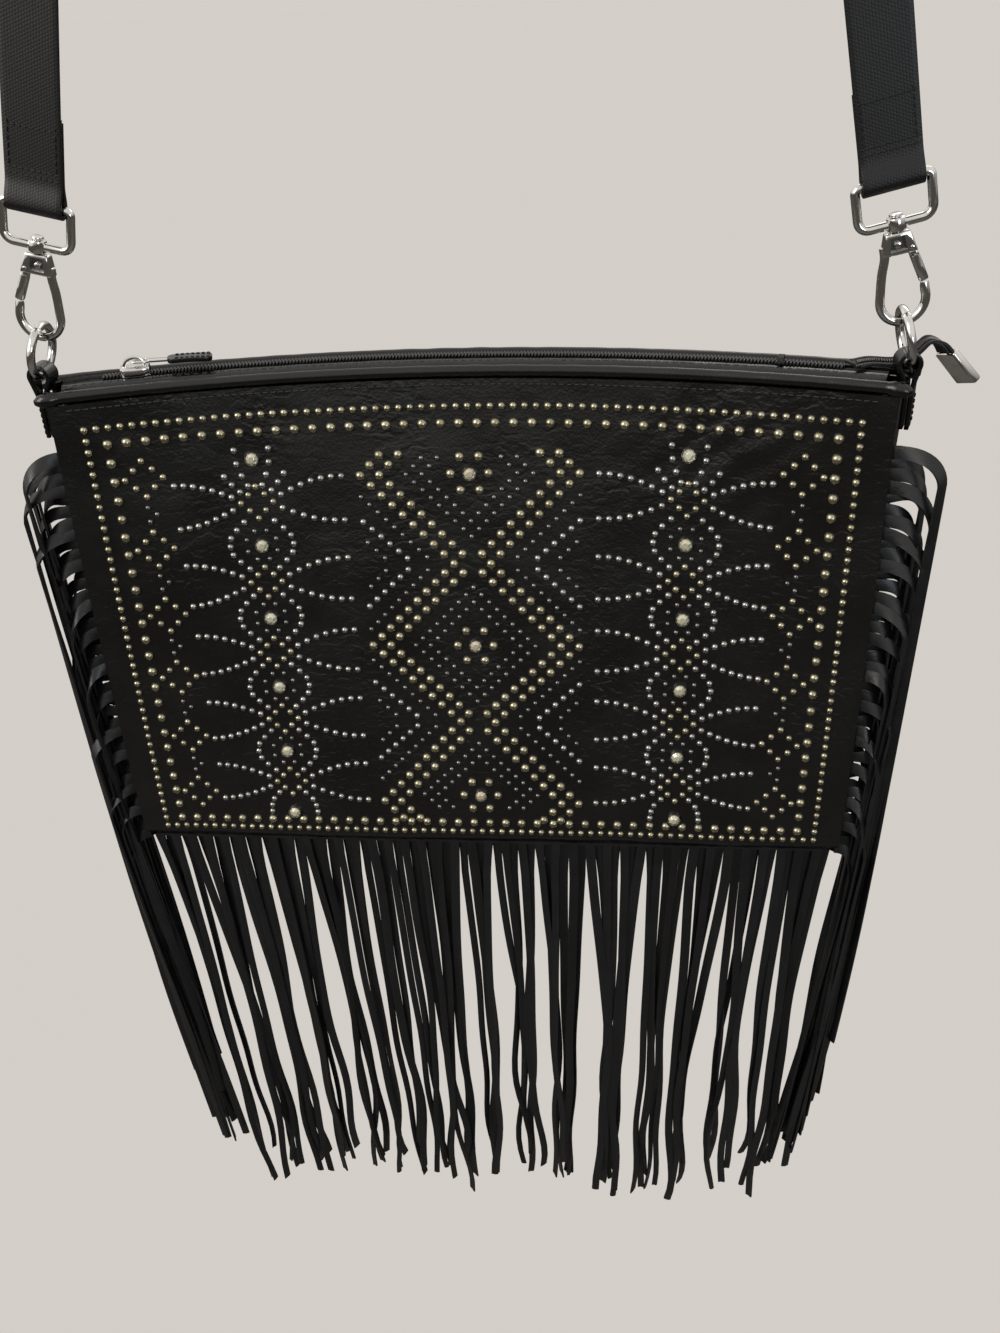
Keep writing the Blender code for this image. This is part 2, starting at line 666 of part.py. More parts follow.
def make_hook(side, word, nickel):
    """Swivelling hook: pin with its riveted head, forked head and round bend."""
    def at(out, along, y=0.0):
        return leg_point(side, along, across=out, y=y)

    pin_top = EYE_LOW - SWIVEL_BOSS_L / 2 - GAP
    top_half, low_half = HEAD_TOP_W / 2, HEAD_LOW_W / 2
    rings = []
    for along, half, deep in (
            (HEAD_TOP_AT, top_half - HEAD_CHAMFER, HEAD_T / 2 - HEAD_CHAMFER / 2),
            (HEAD_TOP_AT + HEAD_CHAMFER, top_half, HEAD_T / 2),
            (HEAD_LOW_AT - HEAD_CHAMFER, low_half, HEAD_T / 2),
            (HEAD_LOW_AT, low_half - HEAD_CHAMFER, HEAD_T / 2 - HEAD_CHAMFER / 2)):
        rings.append([at(-half, along, -deep), at(half, along, -deep),
                      at(half, along, deep), at(-half, along, deep)])
    hook = loft(word + "_hook", rings, nickel, smooth=25)

    limb = low_half - WIRE_R
    bend_centre = BEND_AT - HOOK_R
    path = [at(-limb, HEAD_LOW_AT - 2 * WIRE_R), at(-limb, HEAD_LOW_AT + WIRE_R / 2),
            at(-(limb + HOOK_R) / 2, (HEAD_LOW_AT + bend_centre) / 2 - WIRE_R)]
    steps = 10
    for i in range(steps + 1):
        turn = (math.pi + 2 * HOOK_WRAP) * i / steps - HOOK_WRAP
        path.append(at(-HOOK_R * math.cos(turn), bend_centre + HOOK_R * math.sin(turn)))
    path.append(leg_point(side, NOTCH_AT + GAP, across=HOOK_R * math.cos(HOOK_WRAP)))
    wire = loft(word + "_hook_wire", wire_rings(path, WIRE_R), nickel)
    join(hook, wire)
    pin = rod(word + "_hook_pin", at(0, pin_top - SWIVEL_HEAD_T / 2),
              at(0, HEAD_TOP_AT + HEAD_CHAMFER), SWIVEL_PIN_R, nickel, 12)
    join(hook, pin)
    rivet = rod(word + "_hook_rivet", at(0, pin_top - SWIVEL_HEAD_T), at(0, pin_top),
                SWIVEL_HEAD_R, nickel, 12)
    join(hook, rivet)

    # The slot ends where the gate's tongue leans when it is fully open
    tongue_drop = HEAD_LOW_AT + GATE_TONGUE - gate_pivot_at()
    lean = GATE_OPEN - gate_lean()
    inner = gate_pivot_out() - GATE_W / 2 * math.cos(lean) - tongue_drop * math.sin(lean) - GAP
    low = HEAD_LOW_AT + WIRE_R
    high = gate_pivot_at() - math.hypot(GATE_W / 2, GATE_W / 2) - GAP
    rings = [[at(x, along, y)
              for x, along in ((inner, low), (HEAD_LOW_W, low), (HEAD_LOW_W, high), (inner, high))]
             for y in (-GATE_T / 2 - GAP, GATE_T / 2 + GAP)]
    cut(hook, loft(word + "_hook_slot", rings, nickel))
    bore = rod(word + "_hook_bore", at(gate_pivot_out(), gate_pivot_at(), -HEAD_T),
               at(gate_pivot_out(), gate_pivot_at(), HEAD_T), GATE_PIN_R + GATE_PLAY, nickel)
    cut(hook, bore)


def gate_pivot_at():
    return HEAD_LOW_AT - GATE_W / 2


def gate_pivot_out():
    return HEAD_LOW_W / 2 - GATE_W / 2 - GATE_SET


def gate_lean():
    """Angle of the closed gate outwards from the leg, as it meets the hook's nose."""
    out = HOOK_R * math.cos(HOOK_WRAP) - gate_pivot_out()
    return math.atan2(out, NOTCH_AT - gate_pivot_at())


def gate_tip():
    """Length of the gate below its pin: its corners swing clear of the nose's inner edge."""
    nose_inner = HOOK_R * math.cos(HOOK_WRAP) - WIRE_R - gate_pivot_out()
    reach = math.hypot(nose_inner, NOTCH_AT + GAP - gate_pivot_at()) - GAP
    return math.sqrt(reach ** 2 - (GATE_W / 2) ** 2)


def make_gate(side, word, nickel):
    """Sprung gate on its pin: a thin tongue in the head's slot and a full bar below."""
    pivot = leg_point(side, gate_pivot_at(), across=gate_pivot_out())
    lean = gate_lean()

    def at(along, across, y):
        """A point of the closed gate: below its pin along it, across it and back."""
        return leg_point(side, gate_pivot_at() + along * math.cos(lean) - across * math.sin(lean),
                         across=gate_pivot_out() + along * math.sin(lean) + across * math.cos(lean), y=y)

    tip = gate_tip()
    tongue_end = (HEAD_LOW_AT + GATE_TONGUE - gate_pivot_at()) / math.cos(lean)
    rings = []
    for along, thick, wide in ((-GATE_W / 2, GATE_T, 0.6), (0, GATE_T, 1), (tongue_end, GATE_T, 1),
                               (tongue_end + GATE_TONGUE / 2, WIRE_R * 2, 1),
                               ((tongue_end + tip) / 2, WIRE_R * 2, 1), (tip, WIRE_R * 2, 1)):
        half, deep = GATE_W / 2 * wide, thick / 2
        rings.append([at(along, -half, -deep), at(along, half, -deep),
                      at(along, half, deep), at(along, -half, deep)])
    gate = loft(word + "_gate", rings, nickel)
    bore = rod(word + "_gate_bore", pivot + Vector((0, -HEAD_T, 0)), pivot + Vector((0, HEAD_T, 0)),
               GATE_PIN_R + GATE_PLAY, nickel)
    cut(gate, bore)
    pin_end = Vector((0, HEAD_T / 2 + GAP, 0))
    rod(word + "_gate_pin", pivot - pin_end, pivot + pin_end, GATE_PIN_R, nickel)


def make_ring(side, word, nickel):
    """Wire ring that hangs in the hook's bend, edge on to the front."""
    across, back, up = leg_axes(side)
    centre = leg_point(side, RING_AT)
    path = [centre + (back * math.cos(a) + up * math.sin(a)) * RING_R
            for a in (2 * math.pi * k / ROUND_STEPS for k in range(ROUND_STEPS))]
    loft(word + "_ring", wire_rings(path, WIRE_R, closed=True, side_hint=across), nickel, closed=True)


def make_tab(side, word, leather):
    """Leather tab folded over the ring's lower wire and sewn to the gusset's side."""
    across, back, up = leg_axes(side)
    fold_r = TAB_BORE + LEATHER / 2
    layer = (LEATHER + GAP) / 2
    centre = leg_point(side, RING_LOW_AT)

    def seat(offset, drop):
        """A point beside the gusset, on the inner or the outer layer."""
        share = 1 - drop / PANEL_H
        angle = half_angle(share)[1]
        off = Vector((side * math.cos(angle), -math.sin(angle), 0))
        return place(side, share, depth_at(share) / 2) + off * (SEAT_OUT + offset)

    drops = (TAB_SEAT, TAB_SEAT / 2, -LEATHER / 2)
    path = [seat(-layer, drop) for drop in drops]
    steps = 8
    for i in range(steps + 1):
        turn = math.radians(-20) + math.radians(220) * i / steps
        path.append(centre - across * side * math.cos(turn) * fold_r + up * math.sin(turn) * fold_r)
    path += [seat(layer, drop) for drop in drops[::-1]]
    flat = Vector((side * math.sin(TOP_ANGLE), math.cos(TOP_ANGLE), 0))
    widths = [flat] * len(drops) + [back] * (steps + 1) + [flat] * len(drops)
    loft(word + "_tab", ribbon_rings(path, widths, TAB_W, LEATHER), leather)


def make_zip_tail(tape, nickel):
    """Free end of the zip at the right corner, with a folded metal end clip."""
    start_share = CHAIN_SHARE + (CHAIN_W / 2 + GAP) / (PANEL_W / 2)
    start = place(start_share, 1.0, DEPTH_TOP / 2, RIDGE + TAIL_T)
    behind = TAB_W / 2 + TAIL_W / 2 + TAIL_T
    route = [start, Vector((start.x + 0.006, behind, start.z)),
             Vector((SIDE_X - 0.001, behind, TOP_Z + RIDGE + 0.0008)),
             Vector((SIDE_X + 0.006, behind, TOP_Z + RIDGE + 0.0022)),
             Vector((SIDE_X + 0.011, behind, TOP_Z + RIDGE + 0.0046)),
             Vector((SIDE_X + 0.0145, behind, TOP_Z + RIDGE + 0.0035)),
             Vector((SIDE_X + 0.017, behind, TOP_Z + RIDGE + 0.0008))]
    widths = [Vector((0, 1, 0))] * len(route)
    loft("zip_tail", ribbon_rings(route, widths, TAIL_W, TAIL_T), tape)
    down = (route[-1] - route[-2]).normalized()
    face = down.cross(Vector((0, 1, 0)))
    centre = route[-1] + down * (CLIP_L / 2 + GAP)
    outline = rounded_rectangle(CLIP_L, CLIP_W, 0.0012, 2)
    rings = [[centre + down * x + Vector((0, y, 0)) + face * z for x, y in outline]
             for z in (-CLIP_T / 2, CLIP_T / 2)]
    loft("zip_end_clip", rings, nickel)


def comb(name, material, header, strips):
    """A fringe cut from one sheet: header rows of points, then strips of point pairs."""
    bm = bmesh.new()
    rows = [[bm.verts.new(point) for point in row] for row in header]
    for one, two in zip(rows, rows[1:]):
        for i in range(len(one) - 1):
            bm.faces.new((one[i], one[i + 1], two[i + 1], two[i]))
    for first, pairs in strips:
        near, far = rows[-1][first], rows[-1][first + 1]
        for a, b in pairs:
            new_near, new_far = bm.verts.new(a), bm.verts.new(b)
            bm.faces.new((near, far, new_far, new_near))
            near, far = new_near, new_far
    piece = finish(name, bm, material)
    wall = piece.modifiers.new("wall", "SOLIDIFY")
    wall.thickness = FRINGE_T
    wall.offset = 0.0
    return piece


def make_bottom_fringe(name, layer, material, chance):
    """Strips that hang from the bottom edge of the bag, drawn into loose bunches."""
    depth = FRINGE_T / 2 + layer * FRINGE_LAYER
    shift = FRINGE_PITCH / 2 * layer
    count = int((PANEL_W - FRINGE_STRIP - 0.002 - shift) / FRINGE_PITCH) + 1
    left = -((count - 1) * FRINGE_PITCH) / 2 + (shift / 2 if layer else -shift / 2)
    edges = []
    for i in range(count):
        middle = left + i * FRINGE_PITCH
        edges += [middle - FRINGE_STRIP / 2, middle + FRINGE_STRIP / 2]
    header = []
    for drop in (GAP, FRINGE_HEADER):
        header.append([place(x / (PANEL_W / 2), 0, depth, -drop) for x in edges])
    strips = []
    phase = 1.3 * layer
    steps = STRIP_STEPS
    for i in range(count):
        middle = left + i * FRINGE_PITCH
        length = FRINGE_LENGTH * (1 - FRINGE_UNEVEN * chance.random())
        sway = FRINGE_BUNCH * math.sin(2 * math.pi * middle / FRINGE_BUNCH_PITCH + phase)
        drift = (0.5 - layer) * 2 * (0.001 + 0.002 * chance.random())
        pairs = []
        for k in range(1, steps + 1):
            share = k / steps
            fall = FRINGE_HEADER + (length - FRINGE_HEADER) * share
            narrow = FRINGE_STRIP / 2 * (1 - 0.12 * share)
            x = middle + sway * share ** 1.5
            base = place(0, 0, depth, -fall)
            y = base.y - drift * share * 2
            pairs.append((Vector((x - narrow, y, base.z)), Vector((x + narrow, y, base.z))))
        strips.append((2 * i, pairs))
    comb(name, material, header, strips)


def make_side_fringe(side, word, material, chance):
    """Strips cut along the side seam, which turn down one over another."""
    top_share = 1 - (TAB_SEAT + SIDE_STRIP_W) / PANEL_H
    pitch = top_share / SIDE_STRIPS
    half = SIDE_STRIP_W / 2 / PANEL_H
    levels = []
    for i in range(SIDE_STRIPS):
        middle = top_share - pitch * (i + 0.5)
        levels += [middle + half, middle - half]
    header = []
    for out in (GAP * 2, SIDE_HEADER):
        header.append([place(side, share, FRINGE_T / 2 + GAP) + Vector((side * out, 0, 0))
                       for share in levels])
    strips = []
    steps = SIDE_STEPS
    for i in range(SIDE_STRIPS):
        middle = top_share - pitch * (i + 0.5)
        root = place(side, middle, FRINGE_T / 2 + GAP)
        reach = PANEL_W / 2 + SIDE_CLEAR + SIDE_STEP * (SIDE_STRIPS - 1 - i) - abs(root.x)
        lane = (1 if i % 2 else -1) * (SIDE_STRIP_W / 2 + GAP)
        length = SIDE_LENGTH * (1 - FRINGE_UNEVEN * chance.random())
        pairs = []
        for k in range(1, steps + 1):
            share = k / steps
            bend = min(share / SIDE_TURN, 1.0)
            out = SIDE_HEADER + (reach - SIDE_HEADER) * math.sin(bend * math.pi / 2)
            drop = SIDE_FALL * (1 - math.cos(bend * math.pi / 2))
            fall = drop + (length - SIDE_FALL) * max(share - SIDE_TURN, 0) / (1 - SIDE_TURN)
            turn = bend * math.pi / 2
            centre = root + Vector((side * out, lane * bend, -fall))
            across = Vector((0, math.sin(turn), math.cos(turn)))
            pairs.append((centre + across * SIDE_STRIP_W / 2, centre - across * SIDE_STRIP_W / 2))
        strips.append((2 * i, pairs))
    comb(word + "_fringe", material, header, strips)


def main():
    for old in list(bpy.data.objects):
        bpy.data.objects.remove(old, do_unlink=True)
    chance = random.Random(SEED)
    leather = make_material("black_leather", (0.022, 0.021, 0.021), 0.48)
    fringe_leather = make_material("fringe_leather", (0.026, 0.025, 0.025), 0.55)
    webbing = make_material("black_webbing", (0.020, 0.020, 0.021), 0.60)
    tape = make_material("zip_tape", (0.018, 0.018, 0.019), 0.75)
    chain = make_material("zip_chain_black", (0.025, 0.025, 0.026), 0.40)
    nickel = make_material("nickel", (0.78, 0.77, 0.75), 0.18, 1.0)
    make_panels(leather)
    make_gusset(leather)
    make_mouth(leather, tape, chain)
    make_slider(nickel, leather)
    make_strap(webbing)
    for side, word in ((-1, "left"), (1, "right")):
        make_eye(side, word, nickel)
        make_hook(side, word, nickel)
        make_gate(side, word, nickel)
        make_ring(side, word, nickel)
        make_tab(side, word, leather)
        make_side_fringe(side, word, fringe_leather, chance)
    make_zip_tail(tape, nickel)
    make_bottom_fringe("front_fringe", 0, fringe_leather, chance)
    make_bottom_fringe("back_fringe", 1, fringe_leather, chance)


main()
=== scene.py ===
"""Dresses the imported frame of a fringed, studded crossbody bag that hangs by its strap.

Metres throughout, +Z up, the studded front faces -Y and the strap's peg is the origin.
"""

import math
import random

import bpy
import numpy as np
from mathutils import Matrix, Vector, noise


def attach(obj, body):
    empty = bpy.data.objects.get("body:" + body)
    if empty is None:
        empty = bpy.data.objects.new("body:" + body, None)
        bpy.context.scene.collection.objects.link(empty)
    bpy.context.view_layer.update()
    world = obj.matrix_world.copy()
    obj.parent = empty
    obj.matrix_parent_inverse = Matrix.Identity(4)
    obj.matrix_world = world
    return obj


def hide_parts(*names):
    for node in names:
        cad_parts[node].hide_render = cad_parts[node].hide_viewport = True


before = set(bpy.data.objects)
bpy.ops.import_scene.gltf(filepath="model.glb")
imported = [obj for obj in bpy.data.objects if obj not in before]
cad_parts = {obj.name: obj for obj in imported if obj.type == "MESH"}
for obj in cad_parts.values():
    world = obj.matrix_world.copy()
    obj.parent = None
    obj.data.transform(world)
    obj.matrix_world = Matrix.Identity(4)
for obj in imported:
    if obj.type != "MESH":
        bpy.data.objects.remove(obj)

bl_info = {
    "name": "Fringed Crossbody Bag",
    "version": (1, 0, 0),
    "blender": (4, 5, 0),
    "location": "3D View > Sidebar > Bag",
    "description": "Builds the leather, studs, zip, fringe, strap and hooks of a crossbody bag",
    "category": "Add Mesh",
}

UP = Vector((0, 0, 1))
SIDES = ((-1, "left"), (1, "right"))
FACES = (("front", True), ("back", False))
BACK = Vector((0, 1, 0))
SIGNS = (-1, 1)
CORNERS = tuple((sx, sz) for sx in SIGNS for sz in SIGNS)
MM = 0.001
# One full wave or turn of a strip, in radians
ROUND = 6.28


def length(name, description, default):
    return bpy.props.FloatProperty(name=name, description=description, default=default,
                                   min=0.0, precision=5, subtype="DISTANCE", unit="LENGTH")


def angle(name, description, default):
    return bpy.props.FloatProperty(name=name, description=description,
                                   default=math.radians(default), subtype="ANGLE", unit="ROTATION")


def colour(name, description, default):
    return bpy.props.FloatVectorProperty(name=name, description=description, size=4, min=0.0,
                                         max=1.0, default=(*default, 1.0), subtype="COLOR")


class BagSizes(bpy.types.PropertyGroup):
    panel_width: length("Panel width", "Front panel, measured along the leather", 0.305)
    panel_height: length("Panel height", "Front panel, bottom edge to mouth", 0.198)
    depth_top: length("Depth at mouth", "Front face to back face at the mouth", 0.024)
    depth_bottom: length("Depth at bottom", "Front face to back face at the bottom", 0.030)
    bow: length("Bow", "How far the middle of the mouth sags back", 0.026)
    lean_forward: length("Lean", "Bottom of the front in front of its top corners", 0.010)
    leather: length("Leather", "Thickness of the panels and tabs", 0.0016)
    gap: length("Gap", "Clearance between pieces that lie together", 0.0003)
    piping_radius: length("Piping radius", "Rolled edge along the mouth", 0.0022)
    ridge: length("Ridge", "Zip above the top edge of the panels", 0.005)
    curl_radius: length("Bottom curl", "Radius in which the front turns under", 0.0060)
    curl_from: length("Curl starts", "Height at which the front starts to turn under", 0.0065)
    leg_lean: angle("Strap lean", "Lean of each strap leg from upright", 13.5)
    strap_width: length("Strap width", "Width of the webbing", 0.019)
    strap_thickness: length("Strap thickness", "Thickness of the webbing", 0.0014)
    peg_radius: length("Peg radius", "Curve of the webbing at the top of its loop", 0.012)
    wire_radius: length("Wire radius", "Wire of the eyes, hooks and rings", 0.0015)
    ring_radius: length("Ring radius", "Ring, to the middle of its wire", 0.009)


class ZipSizes(bpy.types.PropertyGroup):
    chain_width: length("Chain width", "Both rows of teeth", 0.0046)
    chain_height: length("Chain height", "Teeth above the tape", 0.0019)
    chain_share: bpy.props.FloatProperty(name="Chain share", default=0.87, min=0.1, max=1.0,
                                         description="Share of the mouth that the teeth span")
    tooth_pitch: length("Tooth pitch", "From one tooth to the next", 0.00125)
    slider_length: length("Slider length", "Body of the slider", 0.0105)
    slider_at: length("Slider place", "Slider from the left end of the teeth", 0.012)
    stop_at: length("Stop place", "Bar tack from the right end of the teeth", 0.022)


class StudSizes(bpy.types.PropertyGroup):
    small: length("Border stud", "Small gold stud of the outer border", 0.0030)
    large: length("Large stud", "Gold stud of the inner border and the zigzags", 0.0040)
    silver: length("Silver stud", "Stud of the curved lines", 0.0029)
    dark: length("Dark stud", "Gunmetal stud of the centre figures", 0.0022)
    gold: length("Fine gold stud", "Gold stud of the little diamonds", 0.0029)
    crystal: length("Crystal", "Set crystal with its rim", 0.0054)
    pitch: length("Border pitch", "From one border stud to the next", 0.00429)
    margin: length("Bottom margin", "Leather below the lowest stud row", 0.008)


class FringeSizes(bpy.types.PropertyGroup):
    thickness: length("Thickness", "Leather of the fringe", 0.0009)
    strip: length("Strip width", "One strip of the bottom fringe", 0.0041)
    count: bpy.props.IntProperty(name="Strips", default=80, min=8, max=120,
                                 description="Strips of the bottom fringe")
    length: length("Length", "Longest strip of the bottom fringe", 0.268)
    side_count: bpy.props.IntProperty(name="Side strips", default=42, min=8, max=80,
                                      description="Strips of each side fringe")
    side_strip: length("Side strip width", "One strip of a side fringe", 0.0040)
    side_length: length("Side length", "Longest strip of a side fringe, at its top", 0.366)
    side_short: length("Lower side length", "Longest strip at the foot of a side fringe", 0.242)
    seed: bpy.props.IntProperty(name="Seed", default=11, min=0,
                                description="Chooses how the strips fall")


class BagColours(bpy.types.PropertyGroup):
    leather: colour("Leather", "Panels, piping and tabs", (0.0058, 0.0055, 0.0054))
    leather_worn: colour("Rubbed leather", "Raised grain and rubbed edges", (0.013, 0.012, 0.0115))
    fringe: colour("Fringe", "Strips of the fringe", (0.0062, 0.0062, 0.0068))
    webbing: colour("Webbing", "Strap", (0.0036, 0.0033, 0.0035))
    tape: colour("Zip tape", "Tape and stop of the zip", (0.0065, 0.0063, 0.0063))
    teeth: colour("Teeth", "Coil of the zip", (0.0100, 0.0096, 0.0092))
    thread: colour("Thread", "Stitches", (0.0042, 0.0040, 0.0040))
    nickel: colour("Nickel", "Hooks, rings and slider", (0.78, 0.765, 0.74))
    gold: colour("Gold", "Gold studs", (0.50, 0.46, 0.325))
    silver: colour("Silver", "Silver studs", (0.47, 0.465, 0.44))
    gunmetal: colour("Gunmetal", "Dark studs", (0.26, 0.26, 0.255))
    crystal: colour("Crystal", "Set crystals", (0.92, 0.76, 0.55))
    backdrop: colour("Backdrop", "Floor and background", (0.66, 0.625, 0.58))


class StageSizes(bpy.types.PropertyGroup):
    floor_drop: length("Floor", "Floor below the strap's peg", 1.32)
    camera_place: bpy.props.FloatVectorProperty(
        name="Camera place", description="Where the camera stands", size=3,
        default=(0.04886, -0.37516, -0.47676), subtype="TRANSLATION", unit="LENGTH")
    camera_pitch: angle("Camera pitch", "How far the camera looks down", 33.0)
    camera_yaw: angle("Camera yaw", "How far the camera looks to the left", 6.05)
    camera_roll: angle("Camera roll", "How far the camera is turned clockwise", 2.75)
    camera_lens: bpy.props.FloatProperty(name="Lens", description="Focal length", default=29.3,
                                         min=8.0, subtype="DISTANCE_CAMERA", unit="CAMERA")
    key_power: bpy.props.FloatProperty(name="Key light", description="Power of the main light",
                                       default=10.0, min=0.0, subtype="POWER", unit="POWER")
    fill_power: bpy.props.FloatProperty(name="Fill light", description="Power of the side light",
                                        default=2.2, min=0.0, subtype="POWER", unit="POWER")


class Shape:
    """The bag's form, worked out from the sizes in the scene."""

    def __init__(self):
        for key in BagSizes.__annotations__:
            setattr(self, key, getattr(bpy.context.scene.bag_sizes, key))
        self.arcs = {}
        self.top_radius, self.top_angle = self.half_angle(1.0)
        self.seat_out = 1.5 * self.gap + self.leather
        middle = self.depth_top / 2
        self.front_top_y = (self.seat_out * math.sin(self.top_angle)
                            - middle * math.cos(self.top_angle))
        self.front_bottom_y = self.front_top_y - self.lean_forward
        self.arc_centre_y = self.front_top_y - self.top_radius * math.cos(self.top_angle)
        self.chain_radius = self.top_radius + middle
        self.side_x = self.chain_radius * math.sin(self.top_angle)
        self.tab_x = self.side_x + self.seat_out * math.cos(self.top_angle)
        peak = (self.peg_radius + self.strap_thickness / 2) / math.sin(self.leg_lean)
        self.leg_peak = peak - self.peg_radius
        self.top_z = self.leg_peak - self.tab_x / math.tan(self.leg_lean)
        self.bottom_z = self.top_z - self.panel_height

    def half_angle(self, share):
        """Radius and half angle of the arc that a level of the panel follows."""
        key = round(share, 4)
        if key not in self.arcs:
            slope = self.bow * max(key, 0.01) / (self.panel_width / 2)
            turn = 2 * slope
            for _ in range(20):
                turn = slope * turn * turn / (1 - math.cos(turn))
            self.arcs[key] = (self.panel_width / 2 / turn, turn)
        return self.arcs[key]

    def place(self, share_x, share_z, depth, rise=0.0):
        """A point of the bag: across, up, behind the front face, and raised."""
        radius, half = self.half_angle(share_z)
        turn = share_x * half
        front = (self.front_bottom_y
                 + (self.front_top_y - self.front_bottom_y) * share_z)
        return Vector(((radius + depth) * math.sin(turn),
                       front + (radius + depth) * math.cos(turn) - radius * math.cos(half),
                       self.bottom_z + share_z * self.panel_height + rise))

    def depth_at(self, share_z):
        return self.depth_bottom + (self.depth_top - self.depth_bottom) * share_z

    def front(self, x, z):
        """The front face, x along the leather from the middle, z up from the bottom edge."""
        share_x = 2 * x / self.panel_width
        share_z = max(z, self.curl_from) / self.panel_height
        turn = max(self.curl_from - z, 0) / self.curl_radius
        swell = self.swell(x, z)
        point = self.place(share_x, share_z, -swell * math.cos(turn))
        arc = self.half_angle(share_z)[1] * share_x
        back = self.curl_radius * (1 - math.cos(turn))
        down = self.curl_radius * math.sin(turn) + swell * math.sin(turn)
        return point + Vector((math.sin(arc) * back, math.cos(arc) * back, -down))

    def swell(self, x, z):
        """Soft unevenness of the stretched leather, in metres outwards."""
        broad = noise.noise(Vector((x * 13 + 4.2, z * 16, 1.7))) * 0.0009
        crease = noise.noise(Vector((x * 60 + z * 25, z * 75, 6.3))) * 0.00028
        corner = math.exp(-((x - 0.095) / 0.030) ** 2 - ((z - 0.172) / 0.018) ** 2)
        wander = 3.2 * noise.noise(Vector((x * 35, z * 35, 3.1)))
        fold = math.sin((x * 0.8 - z) * 470 + wander) * 0.00030 * corner
        edge = min(1.0, (self.panel_width / 2 - abs(x)) / 0.02)
        return (broad + crease + fold) * edge

    def front_frame(self, x, z):
        """Place, direction across, direction up and outward normal on the front face."""
        step = 0.0008
        across = (self.front(x + step, z) - self.front(x - step, z)).normalized()
        rise = (self.front(x, z + step) - self.front(x, z - step)).normalized()
        out = across.cross(rise).normalized()
        return self.front(x, z), across, out.cross(across), out

    def leg_axes(self, side):
        """Directions outwards across a strap leg and up along it."""
        sine, cosine = math.sin(self.leg_lean), math.cos(self.leg_lean)
        return Vector((side * cosine, 0, sine)), Vector((-side * sine, 0, cosine))

    def leg_point(self, side, along, across=0.0, y=0.0):
        """A point by a strap leg: along it downwards from the fold bar, across it outwards."""
        out, up = self.leg_axes(side)
        corner = Vector((side * self.tab_x, 0, self.top_z))
        return corner + up * (self.corner_at() - along) + out * across + Vector((0, y, 0))

    def corner_at(self):
        return HOOK["ring_at"] + self.ring_radius + HOOK["tab_rise"]

    def chain_frame(self, turn):
        """Place, along and outward directions on the zip, at an angle on the arc of the mouth."""
        centre = Vector((0, self.arc_centre_y, self.top_z + self.ridge))
        return centre + arc_out(turn) * self.chain_radius, arc_along(turn), arc_out(turn)


# Length of the webbing's folded end and of the taper to its bar
FLAP, TAPER = 0.027, 0.008
# Stations down a strap leg, in metres from the bar in the webbing's fold, and widths there
HOOK = {
    "eye_low": 0.0133, "boss_half": 0.0021, "head_top": 0.0157, "head_low": 0.0227,
    "bend": 0.0450, "notch": 0.0332, "ring_at": 0.0502, "tab_rise": 0.009,
    "eye_w": 0.0262, "eye_h": 0.0163, "head_top_w": 0.0090, "head_low_w": 0.0120,
    "head_t": 0.0046, "bend_r": 0.0073, "gate_w": 0.0030, "gate_set": 0.0006,
}


def arc_along(turn):
    """Direction along the bow of the mouth, at an angle from its middle."""
    return Vector((math.cos(turn), -math.sin(turn), 0))


def arc_out(turn):
    """Direction out of the bow of the mouth, towards the back."""
    return Vector((math.sin(turn), math.cos(turn), 0))


def deselect():
    bpy.ops.object.select_all(action="DESELECT")


def added(operator, **values):
    """What one of Blender's add operators makes."""
    deselect()
    operator(**values)
    return bpy.context.object


def activate(piece):
    """Make one object the only selected and the active one."""
    deselect()
    piece.select_set(True)
    bpy.context.view_layer.objects.active = piece


def apply_modifier(piece, kind, **values):
    """Add one modifier, set it and apply it."""
    activate(piece)
    step = piece.modifiers.new(kind.lower(), kind)
    for key, value in values.items():
        setattr(step, key, value)
    bpy.ops.object.modifier_apply(modifier=step.name)
    return piece


def ease(piece, width):
    """Round the sharp edges."""
    return apply_modifier(piece, "BEVEL", width=width, segments=2, limit_method="ANGLE")


def thicken(piece, thickness, offset):
    """Give a sheet its thickness: offset -1 puts it behind the sheet, 0 on both sides."""
    return apply_modifier(piece, "SOLIDIFY", thickness=thickness, offset=offset)


def edit_picked(piece, *steps):
    """Run steps in edit mode on what is picked."""
    bpy.ops.object.mode_set(mode="EDIT")
    for step in steps:
        step()
    bpy.ops.object.mode_set(mode="OBJECT")
    return piece


def edit(piece, *steps):
    """Run steps in edit mode with everything selected."""
    activate(piece)
    return edit_picked(piece, lambda: bpy.ops.mesh.select_all(action="SELECT"), *steps)


def face_out():
    bpy.ops.mesh.normals_make_consistent(inside=False)


def delete_faces():
    bpy.ops.mesh.delete(type="FACE")


def merge(distance):
    """A step that joins points nearer than a distance."""
    return lambda: bpy.ops.mesh.remove_doubles(threshold=distance)


def pick_faces(piece, test):
    """Select the faces whose centre and normal pass a test, ready for edit mode."""
    activate(piece)
    edit_picked(piece, lambda: bpy.ops.mesh.select_mode(type="FACE"),
                lambda: bpy.ops.mesh.select_all(action="DESELECT"))
    for face in piece.data.polygons:
        face.select = bool(test(face.center, face.normal))


def join(pieces):
    """Join several objects into the first."""
    deselect()
    for piece in pieces:
        piece.select_set(True)
    bpy.context.view_layer.objects.active = pieces[0]
    if len(pieces) > 1:
        bpy.ops.object.join()
    return pieces[0]


